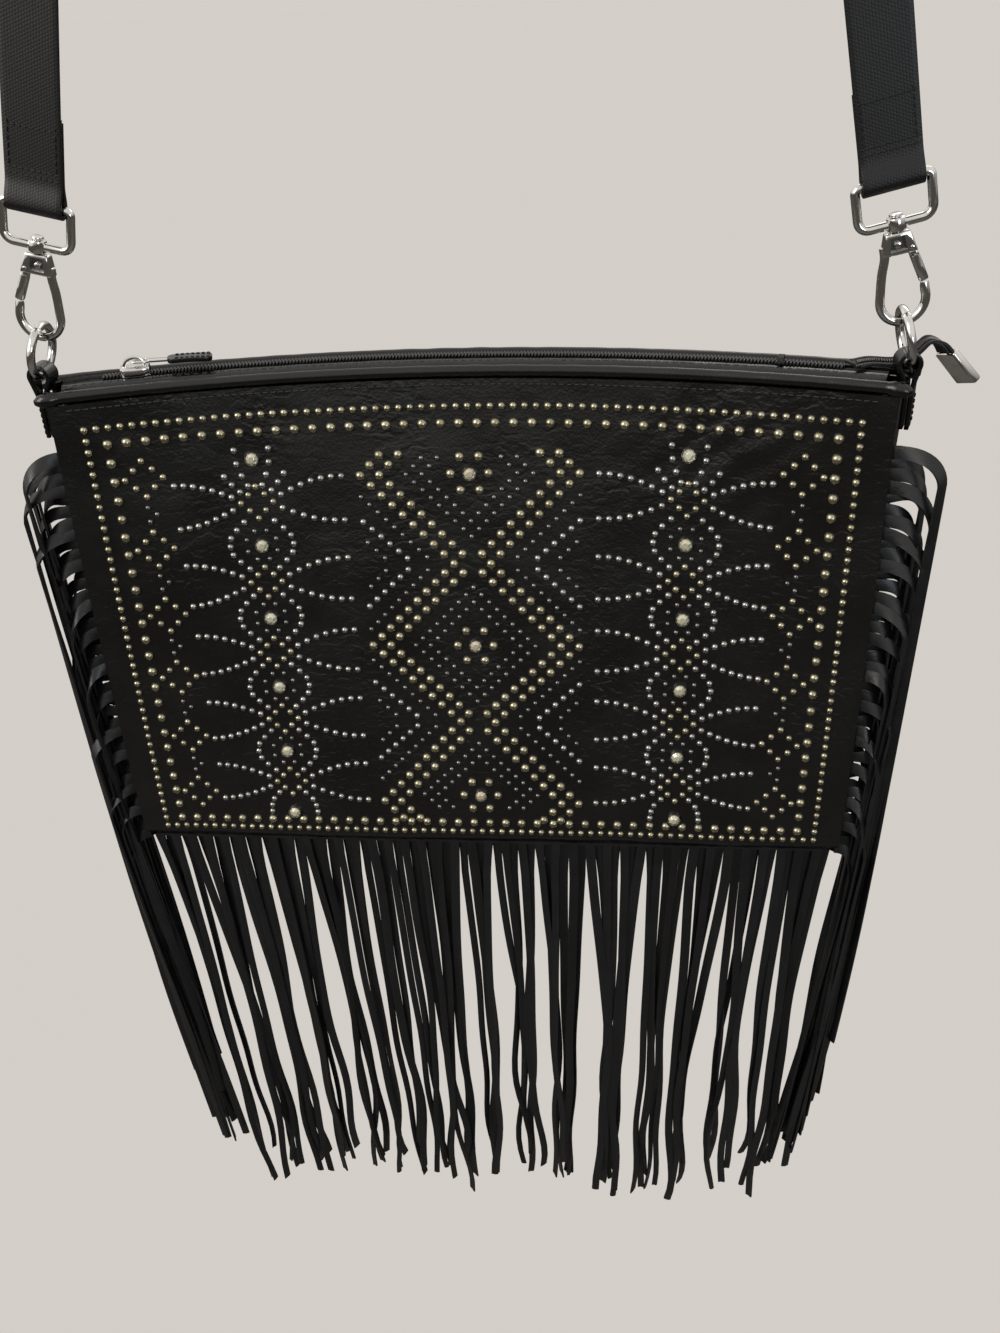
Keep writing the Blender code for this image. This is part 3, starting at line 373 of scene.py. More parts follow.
def settle(piece, name, material, body, stands_for=(), smooth=40.0):
    """Name a finished piece, fix its place in its mesh and hang it on its body."""
    activate(piece)
    bpy.ops.object.transform_apply(location=True, rotation=True, scale=True)
    bpy.ops.object.shade_smooth_by_angle(angle=math.radians(smooth))
    piece.name = piece.data.name = name
    piece.data.materials.clear()
    piece.data.materials.append(material)
    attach(piece, body)
    if stands_for:
        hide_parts(*stands_for)


def laid_sheet(columns, rows, where):
    """A grid laid on a surface that is read at shares 0 to 1."""
    piece = added(bpy.ops.mesh.primitive_grid_add, x_subdivisions=columns,
                  y_subdivisions=rows, size=1)
    for vertex in piece.data.vertices:
        vertex.co = where(vertex.co.x + 0.5, vertex.co.y + 0.5)
    return piece


def tube(points, radius, closed=False, resolution=3):
    """A round wire through points, as a mesh with closed ends."""
    piece = added(bpy.ops.curve.primitive_nurbs_path_add)
    line = piece.data
    line.splines.clear()
    spline = line.splines.new("POLY")
    spline.points.add(len(points) - 1)
    radii = radius if isinstance(radius, (list, tuple)) else [radius] * len(points)
    for knot, point, size in zip(spline.points, points, radii):
        knot.co = (*point, 1.0)
        knot.radius = size / radii[0]
    spline.use_cyclic_u = closed
    line.dimensions = "3D"
    line.twist_mode = "MINIMUM"
    line.bevel_depth = radii[0]
    line.bevel_resolution = resolution
    line.use_fill_caps = not closed
    bpy.ops.object.convert(target="MESH")
    return edit(bpy.context.object, merge(0.000001), face_out)


def profile_along(points_at, outline):
    """Sweep a closed outline through stations and close both ends."""
    stations, count = len(points_at), len(outline)

    def where(across, along):
        return points_at[round(across * (stations - 1))](*outline[round(along * count) % count])

    return edit(laid_sheet(stations - 1, count, where), merge(0.0000005),
                lambda: bpy.ops.mesh.select_mode(type="VERT"),
                lambda: bpy.ops.mesh.select_all(action="DESELECT"),
                bpy.ops.mesh.select_non_manifold, bpy.ops.mesh.edge_face_add,
                lambda: bpy.ops.mesh.select_all(action="SELECT"), face_out)


def block(size, bevel, segments, at=(0, 0, 0)):
    """A box with rounded edges, at its real size and place."""
    piece = added(bpy.ops.mesh.primitive_cube_add, size=1, location=at, scale=size)
    bpy.ops.object.transform_apply(location=False, rotation=False, scale=True)
    return edit(piece, lambda: bpy.ops.mesh.bevel(offset=bevel, segments=segments))


def copies(template, frames):
    """One mesh joined from a copy of a small shape at each frame, with a shade for each copy."""
    count = len(template.data.vertices)
    made = []
    for place, matrix, size, shade in frames:
        piece = template.copy()
        piece.data = template.data.copy()
        bpy.context.scene.collection.objects.link(piece)
        piece.matrix_world = Matrix.Translation(place) @ (Matrix(matrix) * size).to_4x4()
        measure(piece, "shade", [shade] * count)
        made.append(piece)
    bpy.data.objects.remove(template, do_unlink=True)
    return join(made)


def turned(across, up, out):
    """Rotation whose columns are the directions of a small shape's x, y and z."""
    return [[across[i], up[i], out[i]] for i in range(3)]


class Tree:
    """A shader tree, laid out from left to right in the order it is written."""

    def __init__(self, tree):
        self.tree = tree
        self.placed = 0

    def feed(self, node, sockets):
        """Link a node's sockets to their sources, or set them to their values."""
        for socket, source in sockets.items():
            if isinstance(source, bpy.types.NodeSocket):
                self.tree.links.new(source, node.inputs[socket])
            else:
                node.inputs[socket].default_value = source

    def add(self, kind, sockets=None, **values):
        node = self.tree.nodes.new(kind if kind.startswith("Node") else "ShaderNode" + kind)
        node.location = (-1500 + 190 * (self.placed % 7), -260 * (self.placed // 7))
        self.placed += 1
        for key, value in values.items():
            setattr(node, key, value)
        self.feed(node, sockets or {})
        return node

    def math(self, operation, *terms):
        return self.add("Math", dict(enumerate(terms)), operation=operation).outputs[0]

    def times(self, *terms):
        return self.math("MULTIPLY", *terms)

    def ramp(self, source, low, high, to_low=0.0, to_high=1.0):
        """Map a value from one range to another, with soft ends."""
        return self.add("MapRange", {"Value": source, "From Min": low, "From Max": high,
                                     "To Min": to_low, "To Max": to_high},
                        interpolation_type="SMOOTHSTEP").outputs["Result"]

    def mix(self, share, one, two):
        return self.add("Mix", {"Factor": share, 6: one, 7: two}, data_type="RGBA").outputs[2]

    def vector(self, operation, one, two):
        return self.add("VectorMath", {0: one, 1: two}, operation=operation).outputs[0]

    def noise(self, where, scale, detail=3.0, rough=0.5, output="Fac"):
        return self.add("TexNoise", {"Vector": where, "Scale": scale, "Detail": detail,
                                     "Roughness": rough}).outputs[output]

    def object_place(self):
        return self.add("TexCoord").outputs["Object"]

    def attribute(self, name):
        return self.add("Attribute", attribute_name=name).outputs["Fac"]

    def group(self, group, sockets):
        return self.add("Group", sockets, node_tree=group).outputs

    def bump(self, height, strength, distance):
        return self.add("Bump", {"Height": height, "Strength": strength,
                                 "Distance": distance}).outputs["Normal"]


def node_group(name, inputs, build):
    """A shader group with number sockets, made once; build gives its outputs by name."""
    group = bpy.data.node_groups.get(name)
    if group:
        return group
    group = bpy.data.node_groups.new(name, "ShaderNodeTree")
    for label, default in inputs.items():
        group.interface.new_socket(name=label, in_out="INPUT",
                                   socket_type="NodeSocketFloat").default_value = default
    tree = Tree(group)
    results = build(tree, tree.add("NodeGroupInput").outputs)
    for label in results:
        group.interface.new_socket(name=label, in_out="OUTPUT", socket_type="NodeSocketFloat")
    tree.feed(tree.add("NodeGroupOutput"), results)
    return group


def grain_group():
    """Pebbled leather: raised cells, soft creases across them and the places that rub."""
    def build(tree, given):
        where = tree.object_place()
        shift = tree.add("VectorMath", {0: tree.noise(where, 420.0, 2.0, output="Color"),
                                        "Scale": 0.0009}, operation="SCALE").outputs[0]
        bent = tree.vector("ADD", where, shift)
        cells = tree.add("TexVoronoi", {"Vector": bent, "Scale": given["Pebbles"]}, feature="F1")
        pebble = tree.ramp(cells.outputs["Distance"], 0.05, 0.80, 1.0, 0.0)
        drawn = tree.vector("MULTIPLY", bent, (1.0, 1.0, 1.7))
        crease = tree.noise(drawn, given["Creases"], 2.5)
        valley = tree.math("ABSOLUTE", tree.math("SUBTRACT", crease, 0.5))
        patches = tree.ramp(tree.noise(where, 34.0, 2.0), 0.38, 0.66, 0.25, 1.0)
        soft = tree.times(tree.ramp(valley, 0.0, 0.14), tree.times(given["Crease Depth"], patches))
        worn = tree.ramp(tree.noise(where, 26.0, 3.0, 0.6), 0.52, 0.74)
        return {"Height": tree.math("ADD", tree.times(pebble, 0.30), soft),
                "Rub": tree.times(worn, pebble)}

    return node_group("leather_grain", {"Pebbles": 900.0, "Creases": 120.0, "Crease Depth": 0.6},
                      build)


def weave_group():
    """Plain weave from real lengths along and across a band."""
    def build(tree, given):
        rows = tree.math("DIVIDE", tree.attribute("along"), given["Rib"])
        yarns = tree.math("DIVIDE", tree.attribute("across"), given["Yarn"])
        odd = tree.times(tree.math("MODULO", tree.math("FLOOR", yarns), 2.0), 0.5)
        along = tree.math("FRACT", tree.math("ADD", rows, odd))
        across = tree.math("FRACT", yarns)
        return {"Height": tree.times(tree.math("SINE", tree.times(along, math.pi)),
                                     tree.math("SINE", tree.times(across, math.pi)))}

    return node_group("band_weave", {"Rib": 0.0013, "Yarn": 0.0011}, build)


def handled_group():
    """Smudges and fine scratches of metal that has been handled."""
    def build(tree, given):
        where = tree.object_place()
        stretched = tree.vector("MULTIPLY", where, (1.0, 1.0, 0.12))
        return {"Dull": tree.ramp(tree.noise(where, given["Smudges"], 4.0, 0.6), 0.42, 0.72),
                "Height": tree.noise(stretched, given["Scratches"], 2.0)}

    return node_group("handled_metal", {"Smudges": 240.0, "Scratches": 1400.0}, build)


def hue(name):
    """A colour of the sidebar."""
    return tuple(getattr(bpy.context.scene.bag_colours, name))


def toned(base, times, more=0.0):
    """A lighter or darker form of a colour."""
    return tuple(min(v * times + more, 1.0) for v in base[:3]) + (1.0,)


def material(name, base, build):
    """A material made once; build gives the sockets of its shader by name."""
    name = "dressed_" + name
    made = bpy.data.materials.get(name)
    if made:
        return made
    made = bpy.data.materials.new(name)
    made.use_nodes = True
    tree = Tree(made.node_tree)
    tree.feed(made.node_tree.nodes["Principled BSDF"], build(tree, base))
    made.diffuse_color = base
    return made


def leather_material(name, pebbles, depth, creases, low, high):
    """Pebbled leather that is paler where it rubs; low and high bound its roughness."""
    def build(tree, base):
        grain = tree.group(grain_group(), {"Pebbles": pebbles, "Crease Depth": creases})
        cloud = tree.noise(tree.object_place(), 45.0)
        return {"Base Color": tree.mix(grain["Rub"], base, hue("leather_worn")),
                "Roughness": tree.ramp(cloud, 0.3, 0.7, low, high),
                "Normal": tree.bump(grain["Height"], 0.8, depth),
                "Specular IOR Level": 0.55}

    return material(name, hue("leather"), build)


def leather():
    return leather_material("black_leather", 950.0, 0.00017, 1.0, 0.25, 0.36)


def edge_leather():
    """Tighter leather of the piping, the facing and the tabs."""
    return leather_material("edge_leather", 1300.0, 0.00007, 0.5, 0.15, 0.25)


def fringe_leather():
    """Thin leather strips, each with its own shade."""
    def build(tree, base):
        streak = tree.noise(tree.object_place(), 300.0, 4.0, 0.6)
        tone = tree.times(tree.math("ADD", tree.attribute("shade"), tree.times(streak, 0.4)), 0.5)
        cloud = tree.noise(tree.object_place(), 90.0)
        grain = tree.group(grain_group(), {"Pebbles": 1500.0, "Crease Depth": 0.8})
        return {"Base Color": tree.mix(tone, base, toned(base, 2.4)),
                "Roughness": tree.ramp(cloud, 0.3, 0.7, 0.30, 0.50),
                "Normal": tree.bump(grain["Height"], 0.4, 0.00012)}

    return material("fringe_leather", hue("fringe"), build)


def band_material(name, base, rib, yarn, rough):
    """Woven band: needs the along and across lengths on its piece."""
    def build(tree, base):
        height = tree.group(weave_group(), {"Rib": rib, "Yarn": yarn})["Height"]
        fuzz = tree.ramp(tree.noise(tree.object_place(), 2600.0, 2.0), 0.2, 0.8, 0.3, 1.0)
        return {"Base Color": tree.mix(tree.times(height, fuzz), base, toned(base, 2.2)),
                "Normal": tree.bump(height, 0.5, 0.00007), "Roughness": rough,
                "Sheen Weight": 0.02, "Sheen Roughness": 0.4}

    return material(name, base, build)


def webbing():
    return band_material("black_webbing", hue("webbing"), 0.0011, 0.0009, 0.46)


def zip_cloth():
    return band_material("zip_tape", hue("tape"), 0.0009, 0.0007, 0.62)


def cut_edge():
    """Cut ends of the webbing, where its yarns show paler, partly as painted highlight."""
    def build(tree, base):
        speck = tree.ramp(tree.noise(tree.object_place(), 1500.0), 0.35, 0.65)
        return {"Base Color": tree.mix(speck, base, toned(base, 2.0)), "Roughness": 0.6}

    return material("cut_edge", toned(hue("webbing"), 9.0), build)


def metal(name, base, low, high, shade=0.0, bumpy=0.00002):
    """Plated metal with smudges; shade says how far copies differ from each other."""
    def build(tree, base):
        handled = tree.group(handled_group(), {})
        tone = tree.times(handled["Dull"], 0.35)
        if shade:
            tone = tree.math("ADD", tone, tree.times(tree.attribute("shade"), shade))
        return {"Base Color": tree.mix(tone, base, toned(base, 0.55)),
                "Roughness": tree.ramp(handled["Dull"], 0.0, 1.0, low, high),
                "Normal": tree.bump(handled["Height"], 0.3, bumpy), "Metallic": 1.0}

    return material(name, base, build)


def nickel():
    return metal("nickel", hue("nickel"), 0.07, 0.16, bumpy=0.000004)


def gold():
    return metal("gold_studs", hue("gold"), 0.26, 0.40, 0.55)


def silver():
    return metal("silver_studs", hue("silver"), 0.24, 0.38, 0.45)


def gunmetal():
    return metal("dark_studs", hue("gunmetal"), 0.20, 0.38, 0.6)


def crystal():
    """Foil-backed cut crystal: a coloured bright ground under a clear hard coat."""
    def build(tree, base):
        glint = tree.ramp(tree.noise(tree.object_place(), 900.0, 1.0), 0.4, 0.6, 0.0, 0.3)
        tone = tree.math("ADD", tree.times(tree.attribute("shade"), 0.7), glint)
        return {"Base Color": tree.mix(tone, base, toned(base, 1.15, 0.12)), "Metallic": 0.3,
                "Roughness": 0.16, "Coat Weight": 1.0, "Coat Roughness": 0.03}

    return material("crystal", hue("crystal"), build)


def teeth():
    def build(tree, base):
        cloud = tree.noise(tree.object_place(), 500.0)
        return {"Base Color": tree.mix(tree.ramp(cloud, 0.4, 0.8), base, toned(base, 2.5)),
                "Roughness": tree.ramp(cloud, 0.3, 0.7, 0.28, 0.42)}

    return material("zip_teeth", hue("teeth"), build)


def thread():
    def build(tree, base):
        twist = tree.add("TexWave", {"Vector": tree.object_place(), "Scale": 900.0,
                                     "Distortion": 2.0}).outputs["Fac"]
        return {"Base Color": tree.mix(twist, base, toned(base, 3.0)),
                "Normal": tree.bump(twist, 0.5, 0.0001), "Roughness": 0.55}

    return material("thread", hue("thread"), build)


def measure(piece, name, values):
    """Keep a number for each point of a mesh, for its material."""
    layer = piece.data.attributes.get(name) or piece.data.attributes.new(name, "FLOAT", "POINT")
    layer.data.foreach_set("value", np.array(values, np.float32))


def smoothstep(t):
    return t * t * (3 - 2 * t)


def ribbon(path, widths, width, thickness, lanes=6, offset=0.0):
    """A flat band about a path, with real lengths along and across it for its weave."""
    last = len(path) - 1
    run = [0.0]
    for one, two in zip(path, path[1:]):
        run.append(run[-1] + (two - one).length)
    along_values, across_values = [], []

    def where(a, b):
        i, share = round(a * last), round(b * lanes) / lanes
        along_values.append(run[i])
        across_values.append(share * width)
        ahead = (path[min(i + 1, last)] - path[max(i - 1, 0)]).normalized()
        across = (widths[i] - ahead * widths[i].dot(ahead)).normalized()
        return path[i] + across * width * (share - 0.5)

    piece = laid_sheet(last, lanes, where)
    measure(piece, "along", along_values)
    measure(piece, "across", across_values)
    return thicken(piece, thickness, offset)


def smooth_path(points, steps):
    """A denser path through points, rounded between them."""
    path = []
    count = len(points)
    for i in range(count - 1):
        a, b = points[max(i - 1, 0)], points[i]
        c, d = points[i + 1], points[min(i + 2, count - 1)]
        for k in range(steps):
            t = k / steps
            path.append(0.5 * ((2 * b) + (c - a) * t + (2 * a - 5 * b + 4 * c - d) * t * t
                               + (3 * b - a - 3 * c + d) * t ** 3))
    path.append(points[-1])
    return path


def sew(name, body, frames, size, thick):
    """A row of short rounded stitches; each frame is a place, along and outward directions."""
    spots = ((-0.5, -0.6), (-0.3, 0.35), (0.3, 0.35), (0.5, -0.6))
    radii = [thick * share for share in (0.5, 0.6, 0.6, 0.5)]
    settle(join([tube([place + along * size * run + out * thick * rise for run, rise in spots],
                      radii, resolution=1) for place, along, out in frames]), name, thread(), body)


def make_front(shape):
    """The studded front: one leather sheet that swells a little and turns under at its foot."""
    width, height = shape.panel_width, shape.panel_height
    piece = laid_sheet(150, 110, lambda a, b: shape.front((a - 0.5) * width, b * height))
    thicken(piece, shape.leather, -1.0)
    settle(piece, "front_leather", leather(), "bag", ["front_panel"])


def make_back(shape):
    def where(a, b):
        share = 2 * a - 1
        broad = noise.noise(Vector((a * 4.2, b * 3.1, 8.4))) * 0.0014
        crease = noise.noise(Vector((a * 17 + b * 5, b * 14, 2.2))) * 0.0003
        swell = (broad + crease) * (1 - share * share)
        return shape.place(share, b, shape.depth_at(b) + swell)

    piece = laid_sheet(90, 60, where)
    thicken(piece, shape.leather, 1.0)
    settle(piece, "back_leather", leather(), "bag", ["back_panel"])


def make_gusset(shape):
    """Band down the left side, along the bottom and up the right side, slack between its edges."""
    sides, low = 40, 80
    columns = 2 * sides + low
    inner = shape.leather + shape.gap

    def where(a, b):
        i = round(a * columns)
        if i <= sides:
            x, z = -1.0, 1 - i / sides
        elif i < sides + low:
            x, z = -1 + 2 * (i - sides) / low, 0.0
        else:
            x, z = 1.0, (i - sides - low) / sides
        near = inner + (0.0022 if z == 0.0 and abs(x) < 1 else 0.0)
        far = shape.depth_at(z) - inner
        sag = math.sin(math.pi * b) * (0.0012 + 0.0010 * noise.noise(Vector((i * 0.21, b * 3, 2))))
        point = shape.place(x, z, near + (far - near) * b)
        turn = x * shape.half_angle(z)[1]
        inward = Vector((-math.cos(turn) * x, math.sin(turn) * x, 0)) if abs(x) == 1 else UP
        return point + inward * (sag + shape.leather * 0.5)

    piece = laid_sheet(columns, 10, where)
    thicken(piece, shape.leather, 0.0)
    settle(piece, "gusset_leather", leather(), "bag", ["gusset"])


def mouth_path(shape, depth, rise, share, steps=120):
    return [shape.place(share * (2 * i / steps - 1), 1.0, depth, rise) for i in range(steps + 1)]


def make_piping(shape):
    """Rolled leather along both edges of the mouth; each end is a small curled nub."""
    over = 1 + 0.004 / (shape.panel_width / 2)
    radius, nub_steps = shape.piping_radius, 5
    for word, near in FACES:
        depth = radius - shape.leather / 2
        depth = depth if near else shape.depth_top - depth
        path = mouth_path(shape, depth, shape.gap + radius, over, 200)
        sizes = []
        for i, point in enumerate(path):
            ends = min(i, len(path) - 1 - i)
            uneven = 1 + 0.07 * noise.noise(Vector((point.x * 140, 3, 5 if near else 9)))
            if ends < nub_steps:
                nub = 1.28 * math.sqrt(max(0.0, 1 - ((ends - 3.2) / 3.4) ** 2))
                sizes.append(radius * max(uneven * 0.1, nub))
                path[i] = point + Vector((0, 0, -0.0007 * (nub_steps - ends) / nub_steps))
            else:
                sizes.append(radius * (uneven * 0.99))
        settle(tube(path, sizes, resolution=5), word + "_piping_roll", edge_leather(), "bag",
               [word + "_piping"], smooth=70)


def make_lips(shape):
    """Leather facings and the zip tapes under them, on both sides of the teeth."""
    middle = shape.depth_top / 2
    end_gap, start_rise = 0.0055, 0.0008
    chain_gap, tape_gap, lap, seam = 0.003, 0.0003, 0.003, 0.0014
    within = 1 - end_gap / (shape.panel_width / 2)
    edge = 2 * shape.piping_radius - shape.leather / 2 + shape.gap
    slope = (shape.ridge - start_rise) / (middle - edge)
    facing_end, tape_end = middle - chain_gap, middle - tape_gap
    stitch_count = 96

    def line(depth):
        return start_rise + slope * (depth - edge)

    def strip(near, start, end, rise, puff, thickness):
        """A band of the mouth between two depths, puffed up between its edges."""
        along, across = [], []

        def where(a, b):
            depth = start + (end - start) * b
            along.append(a * (shape.panel_width * within))
            across.append(b * (end - start))
            wave = 0.00018 * noise.noise(Vector((a * 40, b * 2, 4 if near else 7)))
            return shape.place((2 * a - 1) * within, 1.0,
                               depth if near else shape.depth_top - depth,
                               line(depth) + rise + puff * math.sin(math.pi * b) + wave)

        piece = laid_sheet(150, 6, where)
        measure(piece, "along", along)
        measure(piece, "across", across)
        return thicken(piece, thickness, 0.0)

    for word, near in FACES:
        settle(strip(near, edge, facing_end, 0.0007, 0.0006, 0.0014), word + "_facing_lip",
               edge_leather(), "bag", [word + "_facing"])
        settle(strip(near, facing_end - lap, tape_end, -0.0006, 0.0, 0.0007), word + "_zip_cloth",
               zip_cloth(), "bag", [word + "_zip_tape"])
        depth = facing_end - seam
        at, lift = depth if near else shape.depth_top - depth, line(depth) + 0.0016
        frames = []
        for i in range(stitch_count):
            share = (2 * (i + 0.5) / stitch_count - 1) * within
            frames.append((shape.place(share, 1.0, at, lift),
                           arc_along(share * shape.top_angle), UP))
        sew(word + "_lip_stitches", "bag", frames, 0.0024, 0.0005)


def make_teeth(shape, zips):
    """The closed coil: two rows of rounded teeth that mesh, and the bar tack across them."""
    half_run = shape.top_angle * zips.chain_share
    count = int(2 * half_run * shape.chain_radius / zips.tooth_pitch)
    wide, high = zips.chain_width, zips.chain_height
    template = block((zips.tooth_pitch * 0.62, wide * 0.58, high * 0.92),
                     zips.tooth_pitch * 0.22, 1, (0, 0, high * 0.46))
    frames = []
    for i in range(count):
        turn = -half_run + (i + 0.5) * 2 * half_run / count
        for row in SIGNS:
            shift = row * 0.25 * zips.tooth_pitch / shape.chain_radius
            here, along, outward = shape.chain_frame(turn + shift)
            frames.append((here + outward * row * wide * 0.2, turned(along, outward, UP),
                           1.0, 0.5))
    settle(copies(template, frames), "zip_coil", teeth(), "bag", ["zip_chain"])
    make_bar_tack(shape, zips, half_run)


def make_bar_tack(shape, zips, half_run):
    """Five rows of thread across the teeth, near their right end."""
    here, along, outward = shape.chain_frame(half_run - zips.stop_at / shape.chain_radius)
    wide, high, row_pitch, thick = zips.chain_width, zips.chain_height, 0.0004, 0.00026
    half = ((0.3, high + 0.0005), (0.8, high + 0.0003), (1, 0.0006))
    rows = []
    for k in range(5):
        middle = here + along * row_pitch * (k - 2)
        across = [middle + outward * wide * 0.62 * s + UP * lift
                  for s, lift in [(-s, lift) for s, lift in half[::-1]] + list(half)]
        rows.append(tube(smooth_path(across, 2), thick, resolution=1))
    settle(join(rows), "bar_tack", thread(), "bag", ["zip_stop"])


def make_slider(shape, zips):
    """Slider with a shaped crown over the teeth, its bail, the pull and the leather tab."""
    half_run = shape.top_angle * zips.chain_share
    here, along, outward = shape.chain_frame(-half_run + zips.slider_at / shape.chain_radius)
    clear, wall, sunk, wire = 0.0003, 0.0011, 0.0006, 0.0005
    inner = zips.chain_width / 2 + clear
    top = zips.chain_height + clear
    long = zips.slider_length

    def at(x, y, z):
        return here + along * x + outward * y + Vector((0, 0, z))

    outline = [(-inner - wall, 0), (-inner, 0), (-inner, top), (inner, top), (inner, 0),
               (inner + wall, 0), (inner + wall * 0.95, top + wall * 0.5),
               (inner * 0.7, top + wall), (-inner * 0.7, top + wall),
               (-inner - wall * 0.95, top + wall * 0.5)]
    stations = [(-0.5, 0.55), (-0.47, 0.78), (-0.38, 0.95), (-0.2, 1), (0.1, 1), (0.3, 0.93),
                (0.42, 0.82), (0.48, 0.7), (0.5, 0.5)]

    def station(share, wide):
        def point(y, z):
            stretch = wide if abs(y) > inner else max(wide, 0.9) if z > top else 1
            return at(share * long, math.copysign(max(abs(y) * stretch, min(abs(y), inner)), y), z)
        return point

    body = profile_along([station(*s) for s in stations], outline)
    edit(body, lambda: bpy.ops.mesh.bevel(offset=0.00018, segments=2))
    reach, rise, bail_wide, bail_thick, arch_steps = long * 0.36, 0.0042, 0.0016, 0.0012, 16
    roof = top + wall - sunk
    arch = []
    for i in range(arch_steps + 1):
        turn = math.pi * i / arch_steps
        arch.append(at(-reach * math.cos(turn), 0, roof + (rise - sunk) * math.sin(turn)))
    bail = ribbon(arch, [outward] * len(arch), bail_wide, bail_thick, 3)
    ease(edit(bail, face_out), 0.0003)
    settle(join([body, bail]), "slider_body", nickel(), "zip_slider",
           ["zip_slider"], smooth=28)

    pivot = top + wall - sunk + rise - bail_thick - wire - clear
    window_end = reach + 0.0012
    stem_end = window_end + 0.0009 + 0.0085
    tab_end = stem_end + 0.014
    tab_half, stitch, spare = 0.0009, 0.0006, 0.0005
    droop = math.asin((pivot - tab_half - zips.chain_height - stitch - spare) / tab_end)

    def on_pull(x, y, z):
        return at(x * math.cos(droop) + z * math.sin(droop), y,
                  pivot + z * math.cos(droop) - x * math.sin(droop))

    wide = (bail_wide + 0.0008 + 0.0018) / 2
    loop = [(0, 0), (0, wide * 0.8), (0.0008, wide - 0.0002),
            (window_end - 0.0008, wide - 0.0002), (window_end + 0.0003, wide * 0.6)]
    loop += [(x, -y) for x, y in loop[:0:-1]]
    link = tube([on_pull(x, y, 0) for x, y in loop], wire, closed=True)
    stem = block((stem_end - window_end, wide * 1.35, 0.0010), 0.0003, 3)
    for vertex in stem.data.vertices:
        x, y, z = vertex.co
        vertex.co = on_pull((window_end + stem_end) / 2 + x, y * (1 - 0.18 * x / stem_end), z)
    settle(join([link, stem]), "pull_bar", nickel(), "zip_pull", ["zip_pull"])

    start, half = stem_end - 0.0022, 0.0065 / 2

    def tab_point(a, b):
        corner = max(0.0, (abs(a - 0.5) - 0.36) / 0.14)
        y = (2 * b - 1) * half * math.sqrt(max(0.02, 1 - corner ** 2.2 * 0.75))
        return on_pull(start + (tab_end - start) * a, y, 0.00025 * math.sin(math.pi * a) - 0.0001)

    tab = ease(thicken(laid_sheet(24, 10, tab_point), 0.0017, 0.0), 0.0004)
    settle(tab, "pull_leather", edge_leather(), "zip_pull", ["zip_pull_tab"])
    ahead = (on_pull(1, 0, 0) - on_pull(0, 0, 0)).normalized()
    frames = [(on_pull(start + 0.0035 + i * 0.0019, side * half * 0.68, 0.00098), ahead, UP)
              for side in SIGNS for i in range(7)]
    sew("pull_stitches", "zip_pull", frames, 0.0013, 0.0004)


def make_tail(shape, zips):
    """The zip's free end, curling out past the right corner, and its folded metal end."""
    tab_wide, tape_wide, tape_thick, clear = 0.008, 0.0085, 0.0009, 0.0011
    chain_end = zips.chain_share + (zips.chain_width / 2 + 0.0003) / (shape.panel_width / 2)
    start = shape.place(chain_end, 1.0, shape.depth_top / 2, shape.ridge + clear)
    behind = tab_wide / 2 + tape_wide / 2 + clear
    top = shape.top_z + shape.ridge
    route = [start, Vector((start.x + 0.006, behind, start.z))]
    route += [Vector((shape.side_x + out, behind, top + rise)) for out, rise in
              ((-0.001, 0.0008), (0.004, 0.0042), (0.0078, 0.0080), (0.0118, 0.0072),
               (0.0146, 0.0042))]
    path = smooth_path(route, 6)
    last = len(path) - 1
    down = (route[-1] - route[-2]).normalized()
    tip_turn = math.radians(27)
    wide_way = BACK * math.cos(tip_turn) - down.cross(BACK) * math.sin(tip_turn)
    widths = [BACK.lerp(wide_way, (i / last) ** 2) for i in range(len(path))]
    settle(ribbon(path, widths, tape_wide, tape_thick, 8), "zip_tail_cloth", zip_cloth(), "bag",
           ["zip_tail"])
    coil = [tube([p + Vector((0, side * 0.0036, 0.0003)) for p in path], 0.0006, resolution=2)
            for side in SIGNS]
    rib = [Vector((0, y, z)) for y, z in ((-0.0014, 0.0006), (0, 0.0011), (0.0014, 0.0006))]
    for i in range(2, last):
        for step in (0, 0.5):
            p = path[i].lerp(path[min(i + 1, last)], step)
            coil.append(tube([p + spot for spot in rib], 0.00034, resolution=1))
    settle(join(coil), "tail_coil", teeth(), "bag")
    clip_long, clip_wide, clip_thick = 0.014, 0.0100, 0.0030
    face = down.cross(wide_way)
    centre = route[-1] + down * (clip_long / 2 + 0.0003)
    clip = block((clip_long, clip_wide, clip_thick), 0.0007, 3)
    pick_faces(clip, lambda c, n: n.x < -0.9 and abs(c.y) < 0.004)
    edit_picked(clip, lambda: bpy.ops.mesh.inset(thickness=0.0006), delete_faces)
    for vertex in clip.data.vertices:
        x, y, z = vertex.co
        swell = 0.00025 * math.sin(x * 1400) * (1 if z > 0 else -1)
        vertex.co = centre + down * x + wide_way * y + face * (z + swell)
    settle(clip, "tail_clip", nickel(), "bag", ["zip_end_clip"])


